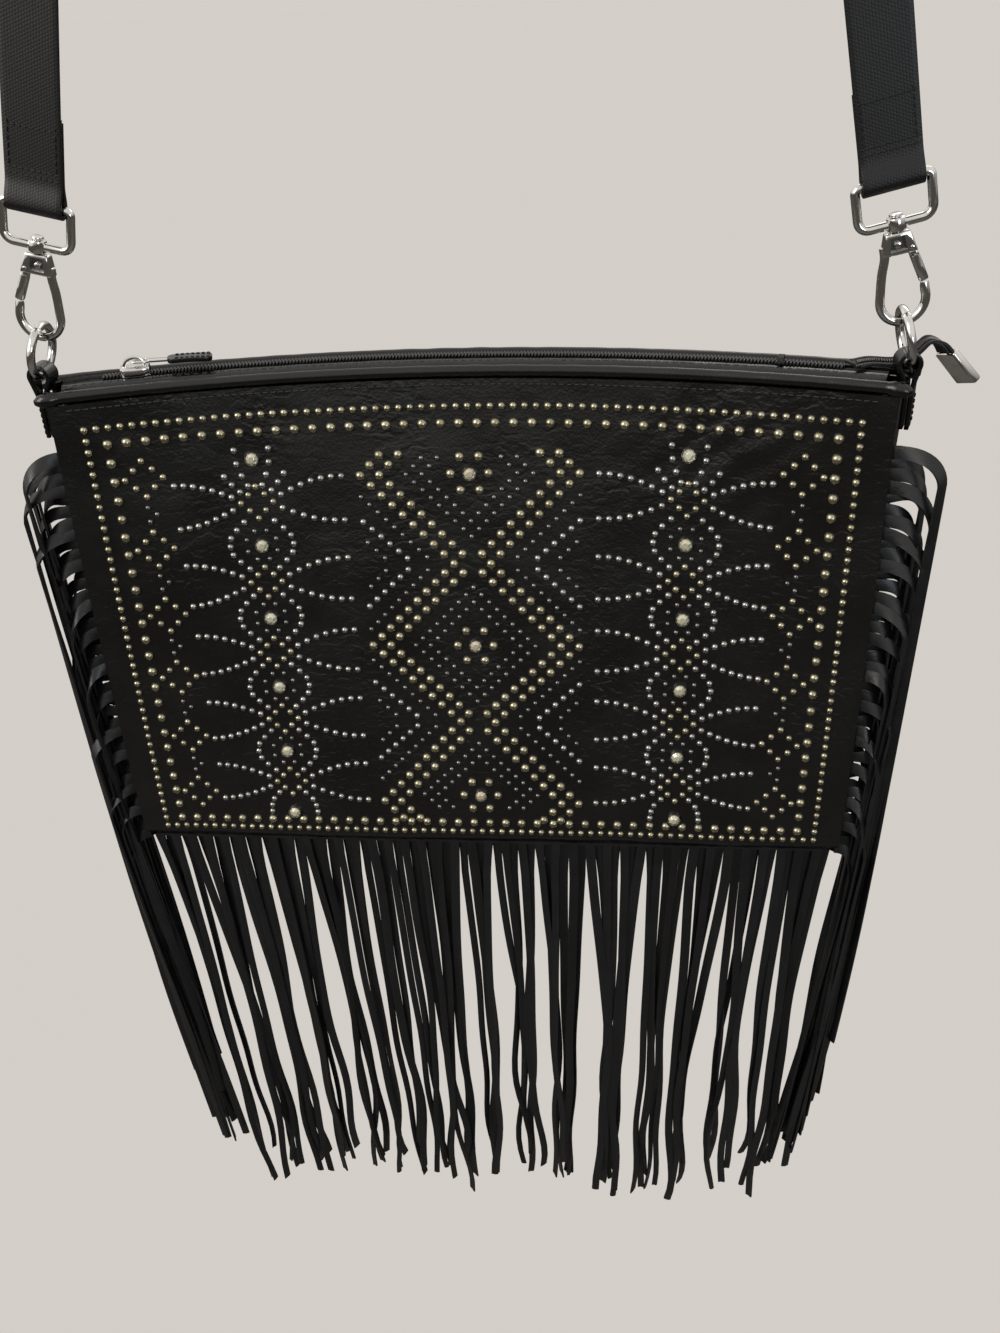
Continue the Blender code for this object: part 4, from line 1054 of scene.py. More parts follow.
class Pattern:
    """Stud places by kind, in metres across from the middle and up from the lowest row."""

    def __init__(self):
        self.kinds = {kind: [] for kind in ("small", "large", "silver", "dark", "gold", "crystal")}

    def both(self, kind, x, z):
        """One stud and its mirror image, given in millimetres."""
        self.kinds[kind].append((x * MM, z * MM))
        if abs(x) > 0.01:
            self.kinds[kind].append((-x * MM, z * MM))

    def around(self, kind, x, z, offsets, sides=SIGNS):
        """Studs at offsets from a place, on one or both sides of it."""
        for sx in sides:
            for dx, dz in offsets:
                self.both(kind, x + sx * dx, z + dz)

    def diamond(self, kind, x, z, half, steps, low=-99.0, high=99.0):
        """Studs along a diamond with its points at the four sides."""
        step = half / steps
        done = set()
        for i in range(steps + 1):
            for sx, sz in CORNERS:
                dx, dz = sx * step * (steps - i), sz * step * i
                key = (round(dx, 3) + 0.0, round(dz, 3) + 0.0)
                if key in done or not low <= dz <= high:
                    continue
                done.add(key)
                if x or dx >= 0:
                    self.both(kind, x + dx, z + dz)


def border_studs(p, pitch):
    """Two borders: small studs outside, large ones inside."""
    wide, tall = 33, 42
    for i in range(wide + 1):
        for j in (0, tall):
            p.both("small", i * pitch / MM, j * pitch / MM)
    for j in range(1, tall):
        p.both("small", wide * pitch / MM, j * pitch / MM)
    side, low, high, columns, rows = 134.3, 4.5, 174.0, 40, 24
    for i in range(columns // 2):
        for z in (low, high):
            p.both("large", side * (2 * i + 1) / (columns - 1), z)
    for j in range(1, rows - 1):
        p.both("large", side, low + (high - low) * j / (rows - 1))


def centre_studs(p):
    """Double zigzags, the figures between them and the chevrons beside them."""
    turns = ((42.0, 155.5), (7.3, 120.1), (42.0, 86.0), (7.3, 52.4), (42.0, 14.5))
    inset, steps = 7.3, 9
    for k, (one, two) in enumerate(zip(turns, turns[1:])):
        for i in range(steps + (k == len(turns) - 2)):
            t = i / steps
            x, z = one[0] + (two[0] - one[0]) * t, one[1] + (two[1] - one[1]) * t
            p.both("large", x, z)
            if x > inset + 1:
                p.both("large", x - inset, z)
    for x in (turns[0][0], turns[0][0] - inset):
        for i, rise in ((1, 3.8), (2, 7.5)):
            p.both("large", x - 3.86 * i, turns[0][1] + rise)
            p.both("large", x - 3.86 * i, turns[-1][1] - rise * 1.1)

    petal, lowest = 7.3, 2.0
    for z, below, above in ((155.3, -99, 6.2), (85.9, -99, 99), (18.0, -6.2, 99)):
        p.both("crystal", 0, z)
        for k in range(6):
            turn = math.pi * k / 3
            if math.cos(turn) > -0.01:
                p.both("large", petal * math.cos(turn), z + petal * math.sin(turn))
        for half, steps in ((24.4, 8), (18.3, 6)):
            p.diamond("dark", 0, z, half, steps, max(below, lowest - z), above)

    chevrons = (("dark", 9, 17.9, 3.05, 2.7, 3.05), ("silver", 6, 25.7, 3.3, 2.3, 3.0),
                ("dark", 3, 34.6, 3.2, 2.6, 3.2))
    for z in (turns[1][1], turns[3][1]):
        for sign in SIGNS:
            for kind, count, x, across, rise, up in chevrons:
                for i in range(count):
                    p.both(kind, x + across * i, z + sign * (rise + up * i))


def eye_studs(p):
    """The columns of eyes with their crystals, crossings and long curved lines."""
    column = 82.5
    eyes = (164.0, 130.0, 99.5, 69.0, 38.8, 8.4)
    for z in eyes:
        p.both("crystal", column, z)
    for z in ((a + b) / 2 for a, b in zip(eyes, eyes[1:])):
        p.diamond("gold", column, z, 6.2, 2)
        for sx, sz in CORNERS:
            for i in range(7):
                x = 9.5 + (3.95 if sx < 0 else 3.5) * i
                bow = 8.6 * math.sin(math.pi / 2 * min((x - 4.2) / 27, 1))
                p.both("silver", column + sx * x, z + sz * bow)
    lid = ((5.9, 9.5), (9.1, 6.5), (11.7, 3.4), (12.4, 0))
    top_lid = ((6.0, -12.6), (8.8, -9.6), (11.3, -6.3), (2.7, -10.4), (4.6, -6.4), (6.1, -1.8),
               (6.5, 3.4))
    low_lid = ((5.8, 9.6), (8.6, 6.4), (9.8, 3.2), (10.2, 0))
    for z in eyes[1:-1]:
        p.around("silver", column, z, lid + tuple((dx, -dz) for dx, dz in lid[2::-1]))
        for k in range(8):
            turn = math.pi * (k + 0.5) / 4
            p.both("dark", column + 6.2 * math.cos(turn), z + 6.2 * math.sin(turn))
    for sx in SIGNS:
        p.around("silver", column, eyes[0], top_lid, (sx,))
        p.around("silver", column, eyes[-1], low_lid, (sx,))


def edge_studs(p):
    """The little diamonds by the side borders and the dark dots between them."""
    column, first, apart, count = 123.5, 159.5, 28.2, 6
    for k in range(count):
        p.diamond("gold", column, first - apart * k, 7.0, 2)
        if k < count - 1:
            p.around("dark", column, first - apart * (k + 0.5),
                     ((-2.6, 0), (0.4, 2.8), (0.4, -2.8)), (1,))


def stud_pattern(pitch):
    """Stud places of the whole front, by kind."""
    p = Pattern()
    border_studs(p, pitch)
    centre_studs(p)
    eye_studs(p)
    edge_studs(p)
    return p.kinds


def dome(size, height=0.42):
    """A pressed dome stud: a low cap with a fine turned-in edge."""
    piece = added(bpy.ops.mesh.primitive_uv_sphere_add, segments=12, ring_count=8,
                  radius=size / 2)
    pick_faces(piece, lambda c, n: c.z < -size * 0.12)
    edit_picked(piece, delete_faces)
    return edit(piece, lambda: bpy.ops.transform.resize(value=(1, 1, height * 2),
                                                        center_override=(0, 0, 0)))


def cut_stone(size):
    """A cut crystal: table, eight crown facets and a girdle."""
    piece = added(bpy.ops.mesh.primitive_cone_add, vertices=8, radius1=size * 0.46,
                  radius2=size * 0.22, depth=size * 0.24, location=(0, 0, size * 0.28))
    bpy.ops.object.transform_apply(location=True, rotation=False, scale=False)
    pick_faces(piece, lambda c, n: n.z < -0.9)
    edit_picked(piece, lambda: bpy.ops.mesh.extrude_region_move(
        TRANSFORM_OT_translate={"value": (0, 0, -size * 0.16)}))
    return edit(piece, lambda: bpy.ops.mesh.bevel(offset=size * 0.012, segments=1))


def rim(size):
    """The ring that holds a crystal."""
    piece = added(bpy.ops.mesh.primitive_torus_add, major_segments=16, minor_segments=4,
                  major_radius=size * 0.50, minor_radius=size * 0.075)
    return edit(piece,
                lambda: bpy.ops.transform.resize(value=(1, 1, 2.4), center_override=(0, 0, 0)),
                lambda: bpy.ops.transform.translate(value=(0, 0, size * 0.08)))


def make_studs(shape, studs):
    """Every stud, set square to the leather under it, each with its own shade and tilt."""
    kinds = stud_pattern(studs.pitch)
    chance = random.Random(5)
    tilt = 0.05
    finishes = {"small": (studs.small, gold), "large": (studs.large, gold),
                "silver": (studs.silver, silver), "dark": (studs.dark, gunmetal),
                "gold": (studs.gold, gold)}

    def frame_at(x, z):
        place, across, up, out = shape.front_frame(x, z + studs.margin)
        out = out + across * chance.uniform(-tilt, tilt) + up * chance.uniform(-tilt, tilt)
        out.normalize()
        spin = chance.uniform(0, math.pi)
        side = across * math.cos(spin) + up * math.sin(spin)
        side = (side - out * side.dot(out)).normalized()
        return place, turned(side, out.cross(side), out)

    for kind, (size, finish) in finishes.items():
        frames = [(*frame_at(x, z), chance.uniform(0.96, 1.03), chance.random())
                  for x, z in kinds[kind]]
        settle(copies(dome(size), frames), kind + "_studs", finish(), "bag")
    stones = []
    for x, z in kinds["crystal"]:
        central = abs(x) < 0.01
        stones.append((*frame_at(x, z), 0.95 if central else 1.0,
                       chance.random() * 0.5 + (0.0 if central else 0.5)))
    settle(copies(cut_stone(studs.crystal), stones), "crystals", crystal(), "bag", smooth=5)
    settle(copies(rim(studs.crystal), stones), "crystal_rims", silver(), "bag", smooth=60)


def comb(count, rows, where):
    """Strips cut into one sheet: three points across each strip, whole above its first row."""
    columns = 3 * count - 1
    strip_of, level_of = [], []

    def spot(a, b):
        column, level = round(a * columns), round(b * rows)
        strip_of.append(column // 3)
        level_of.append(level)
        return where(column // 3, column % 3 - 1, level)

    piece = laid_sheet(columns, rows, spot)
    pick_faces(piece, lambda c, n: False)
    for face in piece.data.polygons:
        inside = {strip_of[v] for v in face.vertices}
        face.select = len(inside) > 1 and min(level_of[v] for v in face.vertices) >= 1
    chance = random.Random(count)
    tones = [chance.random() for _ in range(count)]
    measure(piece, "shade", [tones[i] for i in strip_of])
    edit_picked(piece, delete_faces)
    return piece


def finish_fringe(piece, word, fringe):
    """Thickness, material and body of one layer of strips."""
    thicken(piece, fringe.thickness, 0.0)
    settle(piece, word + "_fringe_strips", fringe_leather(), "bag",
           [word + "_fringe"], smooth=50)


def make_bottom_fringe(shape, fringe):
    """Two layers of strips under the bag, drawn into bunches, each with its own turn and curl."""
    chance = random.Random(fringe.seed)
    rows = 26
    bunches = []
    reached = -shape.panel_width / 2
    while reached < shape.panel_width / 2:
        wide = chance.uniform(0.010, 0.027)
        bunches.append((reached + wide / 2, chance.uniform(-0.0025, 0.0025),
                        chance.uniform(0.35, 0.8)))
        reached += wide
    for layer, word in ((0, "front"), (1, "back")):
        count = (fringe.count + 1 - layer) // 2
        pitch = shape.panel_width * 0.985 / (fringe.count / 2)
        falls = []
        for i in range(count):
            middle = (i - (count - 1) / 2) * pitch + (layer - 0.5) * pitch / 2
            centre, drift, pull = min(bunches, key=lambda b: abs(b[0] - middle))
            bunch = (centre - middle) * pull + drift
            inward = -middle * 0.03
            falls.append({
                "middle": middle, "sway": bunch + inward + chance.uniform(-0.0024, 0.0024),
                "long": fringe.length * (0.992 - 0.10 * chance.random() ** 1.6
                                         - 0.02 * (1 + math.sin(middle * 55))),
                "twist": chance.choice(SIGNS) * chance.uniform(0.1, 1.1),
                "late": chance.uniform(0.4, 1.6),
                "wave": chance.uniform(0.0008, 0.0046), "phase": chance.uniform(0, ROUND),
                "turns": chance.uniform(0.4, 1.5), "curl": chance.uniform(-0.5, 0.7),
                "depth": chance.uniform(-0.006, 0.006), "start": chance.uniform(-0.0010, 0.0010),
                "wide": chance.uniform(0.74, 1.06),
            })

        def where(strip, k, level):
            f = falls[strip]
            share = max(level - 1, 0) / (rows - 1)
            fall = -0.0006 + (0.0014 if level else 0.0) + (f["long"] - 0.001) * share
            x = f["middle"] + f["sway"] * math.sin(min(share / 0.72, 1) * math.pi / 2) ** 1.2
            x += f["start"] * min(share * 12, 1)
            x += f["wave"] * math.sin(f["phase"] + f["turns"] * ROUND * share) * share
            x += 0.0013 * math.sin(f["phase"] * 3 + 19 * share) * share ** 2
            turn = f["twist"] * share ** f["late"]
            tip = max(0.0, share - 0.86) / 0.14
            y = (0.0036 + layer * 0.0019 + f["depth"] * share
                 + 0.0012 * math.sin(f["phase"] * 2 + 7 * share) * share
                 + f["curl"] * 0.006 * tip ** 2)
            half = fringe.strip / 2 * (1 - 0.10 * share) * (f["wide"] if level > 1 else 1)
            cup = -0.00035 * (1 - abs(k)) * (1 if f["twist"] > 0 else -1)
            at = shape.place(2 * x / shape.panel_width, 0, y, -fall)
            across = Vector((math.cos(turn), math.sin(turn), 0))
            lift = 0.0016 * k * math.sin(f["phase"]) * tip
            return at + across * half * k + Vector((0, cup, lift))

        wide = shape.panel_width * 0.985
        finish_fringe(comb(count, rows, where), word, fringe)


def make_side_fringe(shape, fringe, side, word):
    """Strips cut along the side seam: they leave it level, lap one over another and turn down."""
    chance = random.Random(fringe.seed * 7 + (1 if side > 0 else 2))
    rows, count = 34, fringe.side_count
    top, turned_by, tuck = 1 - 0.0175 / shape.panel_height, 0.34, 0.0012
    falls = []
    for i in range(count):
        share = i / (count - 1)
        falls.append({
            "root": top * (1 - (i + 0.5) / count),
            "reach": 0.0105 + 0.0030 * (1 - share) + chance.uniform(-0.0042, 0.0016),
            "fall": 0.009 + 0.009 * chance.random(),
            "long": ((fringe.side_short + (fringe.side_length - fringe.side_short) * (1 - share))
                     * (1 - 0.15 * chance.random() ** 1.4)),
            "inward": (0.001 + 0.013 * share * chance.uniform(0.3, 1.2)
                       + chance.uniform(-0.002, 0.004)),
            "lane": ((i * 5) % 7 - 3) * 0.0021 + chance.uniform(-0.0006, 0.0006),
            "face": chance.uniform(0.75, 1.25), "rest": chance.uniform(-1.3, 1.3),
            "wave": chance.uniform(0.0006, 0.0030),
            "phase": chance.uniform(0, ROUND), "turns": chance.uniform(0.6, 1.6),
            "lift": chance.uniform(-0.001, 0.0025),
        })

    def where(strip, k, level):
        f = falls[strip]
        root = shape.place(side, f["root"], 0.0021)
        slant = shape.half_angle(f["root"])[1]
        share = level / rows
        bend = min(share / turned_by, 1.0) * math.pi / 2
        beyond = max(share - turned_by, 0) / 0.66
        reach = shape.panel_width / 2 + f["reach"] - abs(root.x)
        out = -tuck + (reach + tuck) * math.sin(bend) ** 0.85
        drop = f["fall"] * (1 - math.cos(bend)) - f["lift"] * math.sin(2 * bend)
        drop += (f["long"] - f["fall"] - reach) * beyond
        sway = f["wave"] * math.sin(f["phase"] + f["turns"] * ROUND * beyond) * beyond
        inward = -f["inward"] * beyond ** 1.25
        y = root.y - math.sin(slant) * out * 0.6 + f["lane"] * math.sin(bend) + sway * 0.6
        centre = Vector((root.x + side * (out + sway + inward), y, root.z - drop))
        face = f["face"] + (f["rest"] - f["face"]) * min(1.0, beyond * 1.6)
        across = Vector((side * math.sin(bend) * math.cos(face), math.sin(bend) * math.sin(face),
                         math.cos(bend)))
        cup = Vector((0, -0.0004 * (1 - abs(k)), 0))
        half = fringe.side_strip / 2 * (1.15 - 0.25 * beyond)
        return centre + across * half * -k + cup

    finish_fringe(comb(count, rows, where), word, fringe)


def strap_end(shape, side, closed_y):
    """Path of a sewn fold: down the back, round the eye's bar and up the front."""
    bar_y = shape.wire_radius + shape.gap + shape.strap_thickness / 2
    spread, turns = [(i + 1) / 5 for i in range(4)], 16
    spots = [(-FLAP + (FLAP - TAPER) * i / 8, closed_y) for i in range(8)]
    spots.append((-TAPER, closed_y))
    spots += [(-TAPER * (1 - t), closed_y + (bar_y - closed_y) * smoothstep(t)) for t in spread]
    for i in range(turns + 1):
        turn = math.pi * i / turns
        spots.append((bar_y * math.sin(turn), bar_y * math.cos(turn)))
    spots += [(-TAPER * t, -bar_y + (bar_y - closed_y) * smoothstep(t)) for t in spread]
    spots.append((-TAPER, -closed_y))
    return [shape.leg_point(side, along, y=y) for along, y in spots]


def strap_leg(shape, side, closed_y, high):
    """Path of a leg, from its fold to the top of the loop, with a slight wave."""
    steps, wave_high, waves = 120, 0.0005, 17
    low = shape.leg_point(side, -TAPER, y=-closed_y)
    path = []
    for i in range(1, steps):
        t = i / steps
        wave = wave_high * math.sin(t * waves + side) * math.sin(math.pi * t)
        path.append(low.lerp(high, t) + Vector((wave, wave * 0.6, 0)))
    return path


def make_strap(shape):
    """The webbing: both sewn folds, both legs with their quarter turn, and the loop's top."""
    closed_y = (shape.strap_thickness + shape.gap) / 2
    mid = shape.peg_radius + shape.strap_thickness / 2
    twist_from, twist_over = 0.35, 0.55
    peg = []
    for i in range(25):
        turn = (math.pi / 2 - shape.leg_lean) * (i / 12 - 1)
        peg.append(Vector((mid * math.sin(turn), 0, -shape.peg_radius + mid * math.cos(turn))))
    paths, turns = [], []
    for side in SIGNS:
        across = shape.leg_axes(side)[0] * side
        fold = strap_end(shape, side, closed_y)
        leg = strap_leg(shape, side, closed_y, peg[0] if side < 0 else peg[-1])
        widths = [across] * len(fold)
        for i in range(len(leg)):
            share = (i + 1) / (len(leg) + 1)
            turn = smoothstep(min(max((share - twist_from) / twist_over, 0), 1)) * math.pi / 2
            widths.append(across * math.cos(turn) + BACK * math.sin(turn))
        paths.append(fold + leg)
        turns.append(widths)
    piece = ribbon(paths[0] + peg + paths[1][::-1], turns[0] + [BACK] * len(peg) + turns[1][::-1],
                   shape.strap_width, shape.strap_thickness, 10)
    settle(ease(piece, 0.00035), "strap_webbing", webbing(), "strap", ["strap"])
    sew_strap(shape, closed_y)
    ravel_strap(shape, closed_y)


def sew_strap(shape, closed_y):
    """Rows of stitches across and along both folds, on both faces."""
    across_pitch, along_pitch, edge_at = 0.0020, 0.0024, 0.0078
    frames = []
    for side in SIGNS:
        out, along = shape.leg_axes(side)
        for face in SIGNS:
            y = face * (closed_y + shape.strap_thickness / 2)
            facing = Vector((0, face, 0))
            for row in (TAPER + 0.0012, TAPER + 0.0032, FLAP - 0.0030):
                for i in range(9):
                    here = shape.leg_point(side, -row, across=(i - 4) * across_pitch, y=y)
                    frames.append((here, out * side, facing))
            for edge in SIGNS:
                for i in range(6):
                    here = shape.leg_point(side, -TAPER - 0.0045 - i * along_pitch,
                                           across=edge * edge_at, y=y)
                    frames.append((here, along, facing))
    sew("strap_stitches", "strap", frames, 0.0017, 0.00042)


def ravel_strap(shape, closed_y):
    """Yarn ends at the cut end of each fold."""
    count, pitch, lean_most = 16, 0.00118, 0.0004
    chance = random.Random(3)
    ravel = []
    for side in SIGNS:
        for i in range(count):
            offset = (i - (count - 1) / 2) * pitch
            start = shape.leg_point(side, -FLAP + 0.0002, across=offset, y=closed_y)
            lean = chance.uniform(-lean_most, lean_most)
            end = shape.leg_point(side, -FLAP - chance.uniform(0.0004, 0.0012),
                                  across=offset + lean, y=closed_y + abs(lean))
            ravel.append(tube([start, end], [0.00022, 0.00012], resolution=1))
    settle(join(ravel), "strap_ravel", cut_edge(), "strap")


def mapped_block(corners, bevel, segments=3):
    """A box whose eight corners go to given places, with rounded edges."""
    piece = added(bpy.ops.mesh.primitive_cube_add, size=2)
    for vertex in piece.data.vertices:
        vertex.co = corners(*(round(c) for c in vertex.co))
    edit(piece, face_out)
    return apply_modifier(piece, "BEVEL", width=bevel, segments=segments, limit_method="NONE")


def round_bar(start, end, radius, bevel=0.0002, sides=20):
    """A turned pin between two places, with eased ends."""
    piece = added(bpy.ops.mesh.primitive_cylinder_add, vertices=sides, radius=radius,
                  depth=(end - start).length)
    ease(piece, bevel)
    piece.matrix_world = (Matrix.Translation((start + end) / 2)
                          @ (end - start).to_track_quat("Z", "Y").to_matrix().to_4x4())
    bpy.ops.object.transform_apply(location=True, rotation=True, scale=True)
    return piece


def make_eye(shape, side, word):
    """Square wire eye in the webbing's fold, and the barrel that the hook turns in."""
    low = HOOK["eye_low"]
    half = (HOOK["eye_w"] - 2 * shape.wire_radius) / 2
    path = []
    for k, (sx, sy) in enumerate(((1, 1), (-1, 1), (-1, -1), (1, -1))):
        corner = 0.0016 if sy > 0 else 0.0035
        for i in range(7):
            turn = math.pi / 2 * (k + i / 6)
            across = sx * (half - corner) + corner * math.cos(turn)
            rise = sy * (low / 2 - corner) + corner * math.sin(turn)
            path.append(shape.leg_point(side, low / 2 - rise, across=across))
    pieces = [tube(path, shape.wire_radius, closed=True, resolution=4)]
    boss = HOOK["boss_half"]
    pieces.append(round_bar(shape.leg_point(side, low - boss), shape.leg_point(side, low + boss),
                            0.0030, 0.0005, 24))
    settle(join(pieces), word + "_square_eye", nickel(), word + "_eye",
           [word + "_eye"])


def make_hook(shape, side, word):
    """Swivel hook: riveted pin, forked head with its recess, and the wire's round bend."""
    top, low = HOOK["head_top"], HOOK["head_low"]
    wire, bend_r = shape.wire_radius, HOOK["bend_r"]

    def at(out, along, y=0.0):
        return shape.leg_point(side, along, across=out, y=y)

    pivot_out = HOOK["head_low_w"] / 2 - HOOK["gate_w"] / 2 - HOOK["gate_set"]
    pivot_at = low - HOOK["gate_w"] / 2

    def head_corner(x, y, z):
        width_at = HOOK["head_top_w"] - 0.0012 if z > 0 else HOOK["head_low_w"] - 0.0006
        return at(x * width_at / 2, top if z > 0 else low, y * HOOK["head_t"] / 2)

    head = mapped_block(head_corner, 0.0006)
    slot = mapped_block(lambda x, y, z: at(pivot_out - 0.0024 if x < 0 else 0.012,
                                           low + 0.002 if z < 0 else pivot_at - 0.0026,
                                           y * 0.00105), 0.0001, 1)
    hollow = mapped_block(lambda x, y, z: at(x * (0.0021 if z > 0 else 0.0026) - 0.0003,
                                             top + 0.0014 if z > 0 else low - 0.0012,
                                             -0.0009 if y > 0 else -0.0040), 0.0003, 2)
    for cutter in (slot, hollow):
        activate(head)
        cut = head.modifiers.new("cut", "BOOLEAN")
        cut.operation, cut.solver, cut.object = "DIFFERENCE", "EXACT", cutter
        bpy.ops.object.modifier_apply(modifier=cut.name)
        bpy.data.objects.remove(cutter, do_unlink=True)

    limb = HOOK["head_low_w"] / 2 - wire
    centre = HOOK["bend"] - bend_r
    wrap = math.radians(12)
    path = [at(-limb, low - 2 * wire), at(-limb, low + wire / 2),
            at(-(limb + bend_r) / 2, (low + centre) / 2 - wire)]
    for i in range(27):
        turn = (math.pi + 2 * wrap) * i / 26 - wrap
        path.append(at(-bend_r * math.cos(turn), centre + bend_r * math.sin(turn)))
    nose = at(bend_r * math.cos(wrap), HOOK["notch"] + 0.0003)
    path = smooth_path(path[:4], 4)[:-1] + path[3:] + [path[-1].lerp(nose, 0.6), nose]
    sizes = [wire] * len(path)
    sizes[-1] = wire * 0.86
    pieces = [head, tube(path, sizes, resolution=4)]
    pin_top = HOOK["eye_low"] - HOOK["boss_half"] - 0.0003
    pieces.append(round_bar(at(0, pin_top - 0.0004), at(0, top + 0.0008), 0.0011))
    pieces.append(round_bar(at(0, pin_top - 0.0009), at(0, pin_top), 0.0021, 0.0004))
    rivet_at = (top + low) / 2 + 0.0004
    pieces.append(round_bar(at(-0.0003, rivet_at, -0.0020), at(-0.0003, rivet_at, -0.0008), 0.0011,
                            0.0004))
    # Dark plate on the floor of the head's recess: painted shade in the hollow
    recess_shade_plate = mapped_block(lambda x, y, z: at(x * (0.0022 if z > 0 else 0.0027) - 0.0003,
                                                  top + 0.0013 if z > 0 else low - 0.0011,
                                                  -0.0008 if y > 0 else -0.0010), 0.00003, 1)
    settle(recess_shade_plate, word + "_hook_recess", gunmetal(), word + "_hook")
    settle(join(pieces), word + "_swivel_hook", nickel(), word + "_hook",
           [word + "_hook"], smooth=32)
    ends = Vector((0, HOOK["head_t"] / 2 + 0.0003, 0))
    pivot = at(pivot_out, pivot_at)
    settle(round_bar(pivot - ends, pivot + ends, 0.0007, 0.00015, 16), word + "_gate_rivet",
           nickel(), word + "_hook", [word + "_gate_pin"])

    lean = math.atan2(bend_r * math.cos(wrap) - pivot_out, HOOK["notch"] - pivot_at)
    inner = bend_r * math.cos(wrap) - wire - pivot_out
    reach = math.hypot(inner, HOOK["notch"] + 0.0003 - pivot_at) - 0.0003
    tip = math.sqrt(reach ** 2 - (HOOK["gate_w"] / 2) ** 2)
    tongue = (low + 0.0012 - pivot_at) / math.cos(lean)

    def gate_at(along, across, y):
        return at(pivot_out + along * math.sin(lean) + across * math.cos(lean),
                  pivot_at + along * math.cos(lean) - across * math.sin(lean), y)

    thin, thick, sides = 0.00075, 0.0015, 12
    stations = ((-0.0015, thin, 0.5), (-0.0008, thin, 0.9), (0, thin, 1), (tongue, thin, 1),
                (tongue + 0.0005, thick, 1), ((tongue + tip) / 2, thick, 1),
                (tip - 0.0003, thick, 1), (tip, 0.0013, 0.9))
    turns = [math.pi * (k + 0.5) / (sides / 2) for k in range(sides)]
    ring = [(math.cos(turn), math.sin(turn)) for turn in turns]

    def section(along, deep, wide):
        def point(c, s):
            across = math.copysign(abs(c) ** 0.55, c) * HOOK["gate_w"] / 2 * wide
            return gate_at(along, across, math.copysign(abs(s) ** 0.55, s) * deep)
        return point

    gate = profile_along([section(*s) for s in stations], ring)
    settle(gate, word + "_snap_gate", nickel(), word + "_gate", [word + "_gate"])


def make_ring(shape, side, word):
    up = shape.leg_axes(side)[1]
    centre = shape.leg_point(side, HOOK["ring_at"])
    path = [centre + (BACK * math.cos(a) + up * math.sin(a)) * shape.ring_radius
            for a in (2 * math.pi * k / 48 for k in range(48))]
    settle(tube(path, shape.wire_radius, closed=True, resolution=4), word + "_wire_ring", nickel(),
           word + "_ring", [word + "_ring"])


def make_tab(shape, side, word):
    """Leather tab folded over the ring's lower wire and sewn to the side of the bag."""
    tab_wide, bend_steps, bend_from, bend_over = 0.008, 16, -20, 220
    ring_r = shape.ring_radius
    rise = ring_r - math.sqrt(ring_r ** 2 - (tab_wide / 2) ** 2)
    fold = shape.wire_radius + rise + shape.gap + shape.leather / 2
    layer = (shape.leather + shape.gap) / 2
    outer, up = shape.leg_axes(side)
    centre = shape.leg_point(side, HOOK["ring_at"] + ring_r)

    def off(turn):
        return Vector((side * math.cos(turn), -math.sin(turn), 0))

    def seat(offset, drop):
        share = 1 - drop / shape.panel_height
        middle = shape.place(side, share, shape.depth_at(share) / 2)
        return middle + off(shape.half_angle(share)[1]) * (shape.seat_out + offset)

    drops = (0.014, 0.0105, 0.007, 0.0035, -0.0008)
    bend = []
    for i in range(bend_steps + 1):
        turn = math.radians(bend_from + bend_over * i / bend_steps)
        bend.append(centre - outer * math.cos(turn) * fold + up * math.sin(turn) * fold)
    path = [seat(-layer, drop) for drop in drops] + bend
    path += [seat(layer, drop) for drop in drops[::-1]]
    flat = arc_out(side * shape.top_angle)
    widths = [flat] * len(drops) + [BACK] * len(bend) + [flat] * len(drops)
    settle(ease(ribbon(path, widths, tab_wide, shape.leather), 0.0004), word + "_ring_tab",
           edge_leather(), "bag", [word + "_tab"])
    stitch_pitch, stitch_side = 0.0021, 0.0029
    frames = [(seat(layer + shape.leather / 2, drops[3] + i * stitch_pitch)
               + flat * edge * stitch_side, UP, off(shape.top_angle))
              for i in range(5) for edge in SIGNS]
    sew(word + "_tab_stitches", "bag", frames, 0.0015, 0.0004)


def make_seams(shape):
    """The dark stitch line under the piping on both panels."""
    count, ends, below, level = 104, 0.012, 0.0021, 0.983
    for word, near in FACES:
        frames = []
        for i in range(count):
            x = ((i + 0.5) / count - 0.5) * (shape.panel_width - ends)
            if near:
                here, along, _, out = shape.front_frame(x, shape.panel_height - below)
            else:
                share = 2 * x / shape.panel_width
                turn = share * shape.top_angle
                here = shape.place(share, level, shape.depth_at(level) + 0.0002)
                along, out = arc_along(turn), arc_out(turn)
            frames.append((here, along, out))
        sew(word + "_seam_stitches", "bag", frames, 0.0023, 0.00055)


def backdrop_material():
    """Darker for the light that it throws back than for the camera."""
    made = material("backdrop", hue("backdrop"), lambda tree, base: {
        "Base Color": toned(base, 0.38), "Roughness": 0.9, "Specular IOR Level": 0.1})
    tree, nodes, base = Tree(made.node_tree), made.node_tree.nodes, hue("backdrop")
    cloud = tree.noise(tree.object_place(), 1.5, 2.0)
    shown = tree.add("Emission", {"Color": tree.mix(cloud, base, toned(base, 0.985)),
                                  "Strength": 1.0})
    choice = tree.add("MixShader", {0: tree.add("LightPath").outputs["Is Camera Ray"],
                                    1: nodes["Principled BSDF"].outputs[0],
                                    2: shown.outputs[0]})
    tree.feed(nodes["Material Output"], {"Surface": choice.outputs[0]})
    return made


def soft_light(name, place, aim, size, power, tint):
    lamp = added(bpy.ops.object.light_add, type="AREA", location=place)
    lamp.name = name
    lamp.data.shape = "RECTANGLE"
    lamp.data.size, lamp.data.size_y = size
    lamp.data.energy = power
    lamp.data.color = tint
    lamp.rotation_euler = (Vector(aim) - Vector(place)).to_track_quat("-Z", "Y").to_euler()


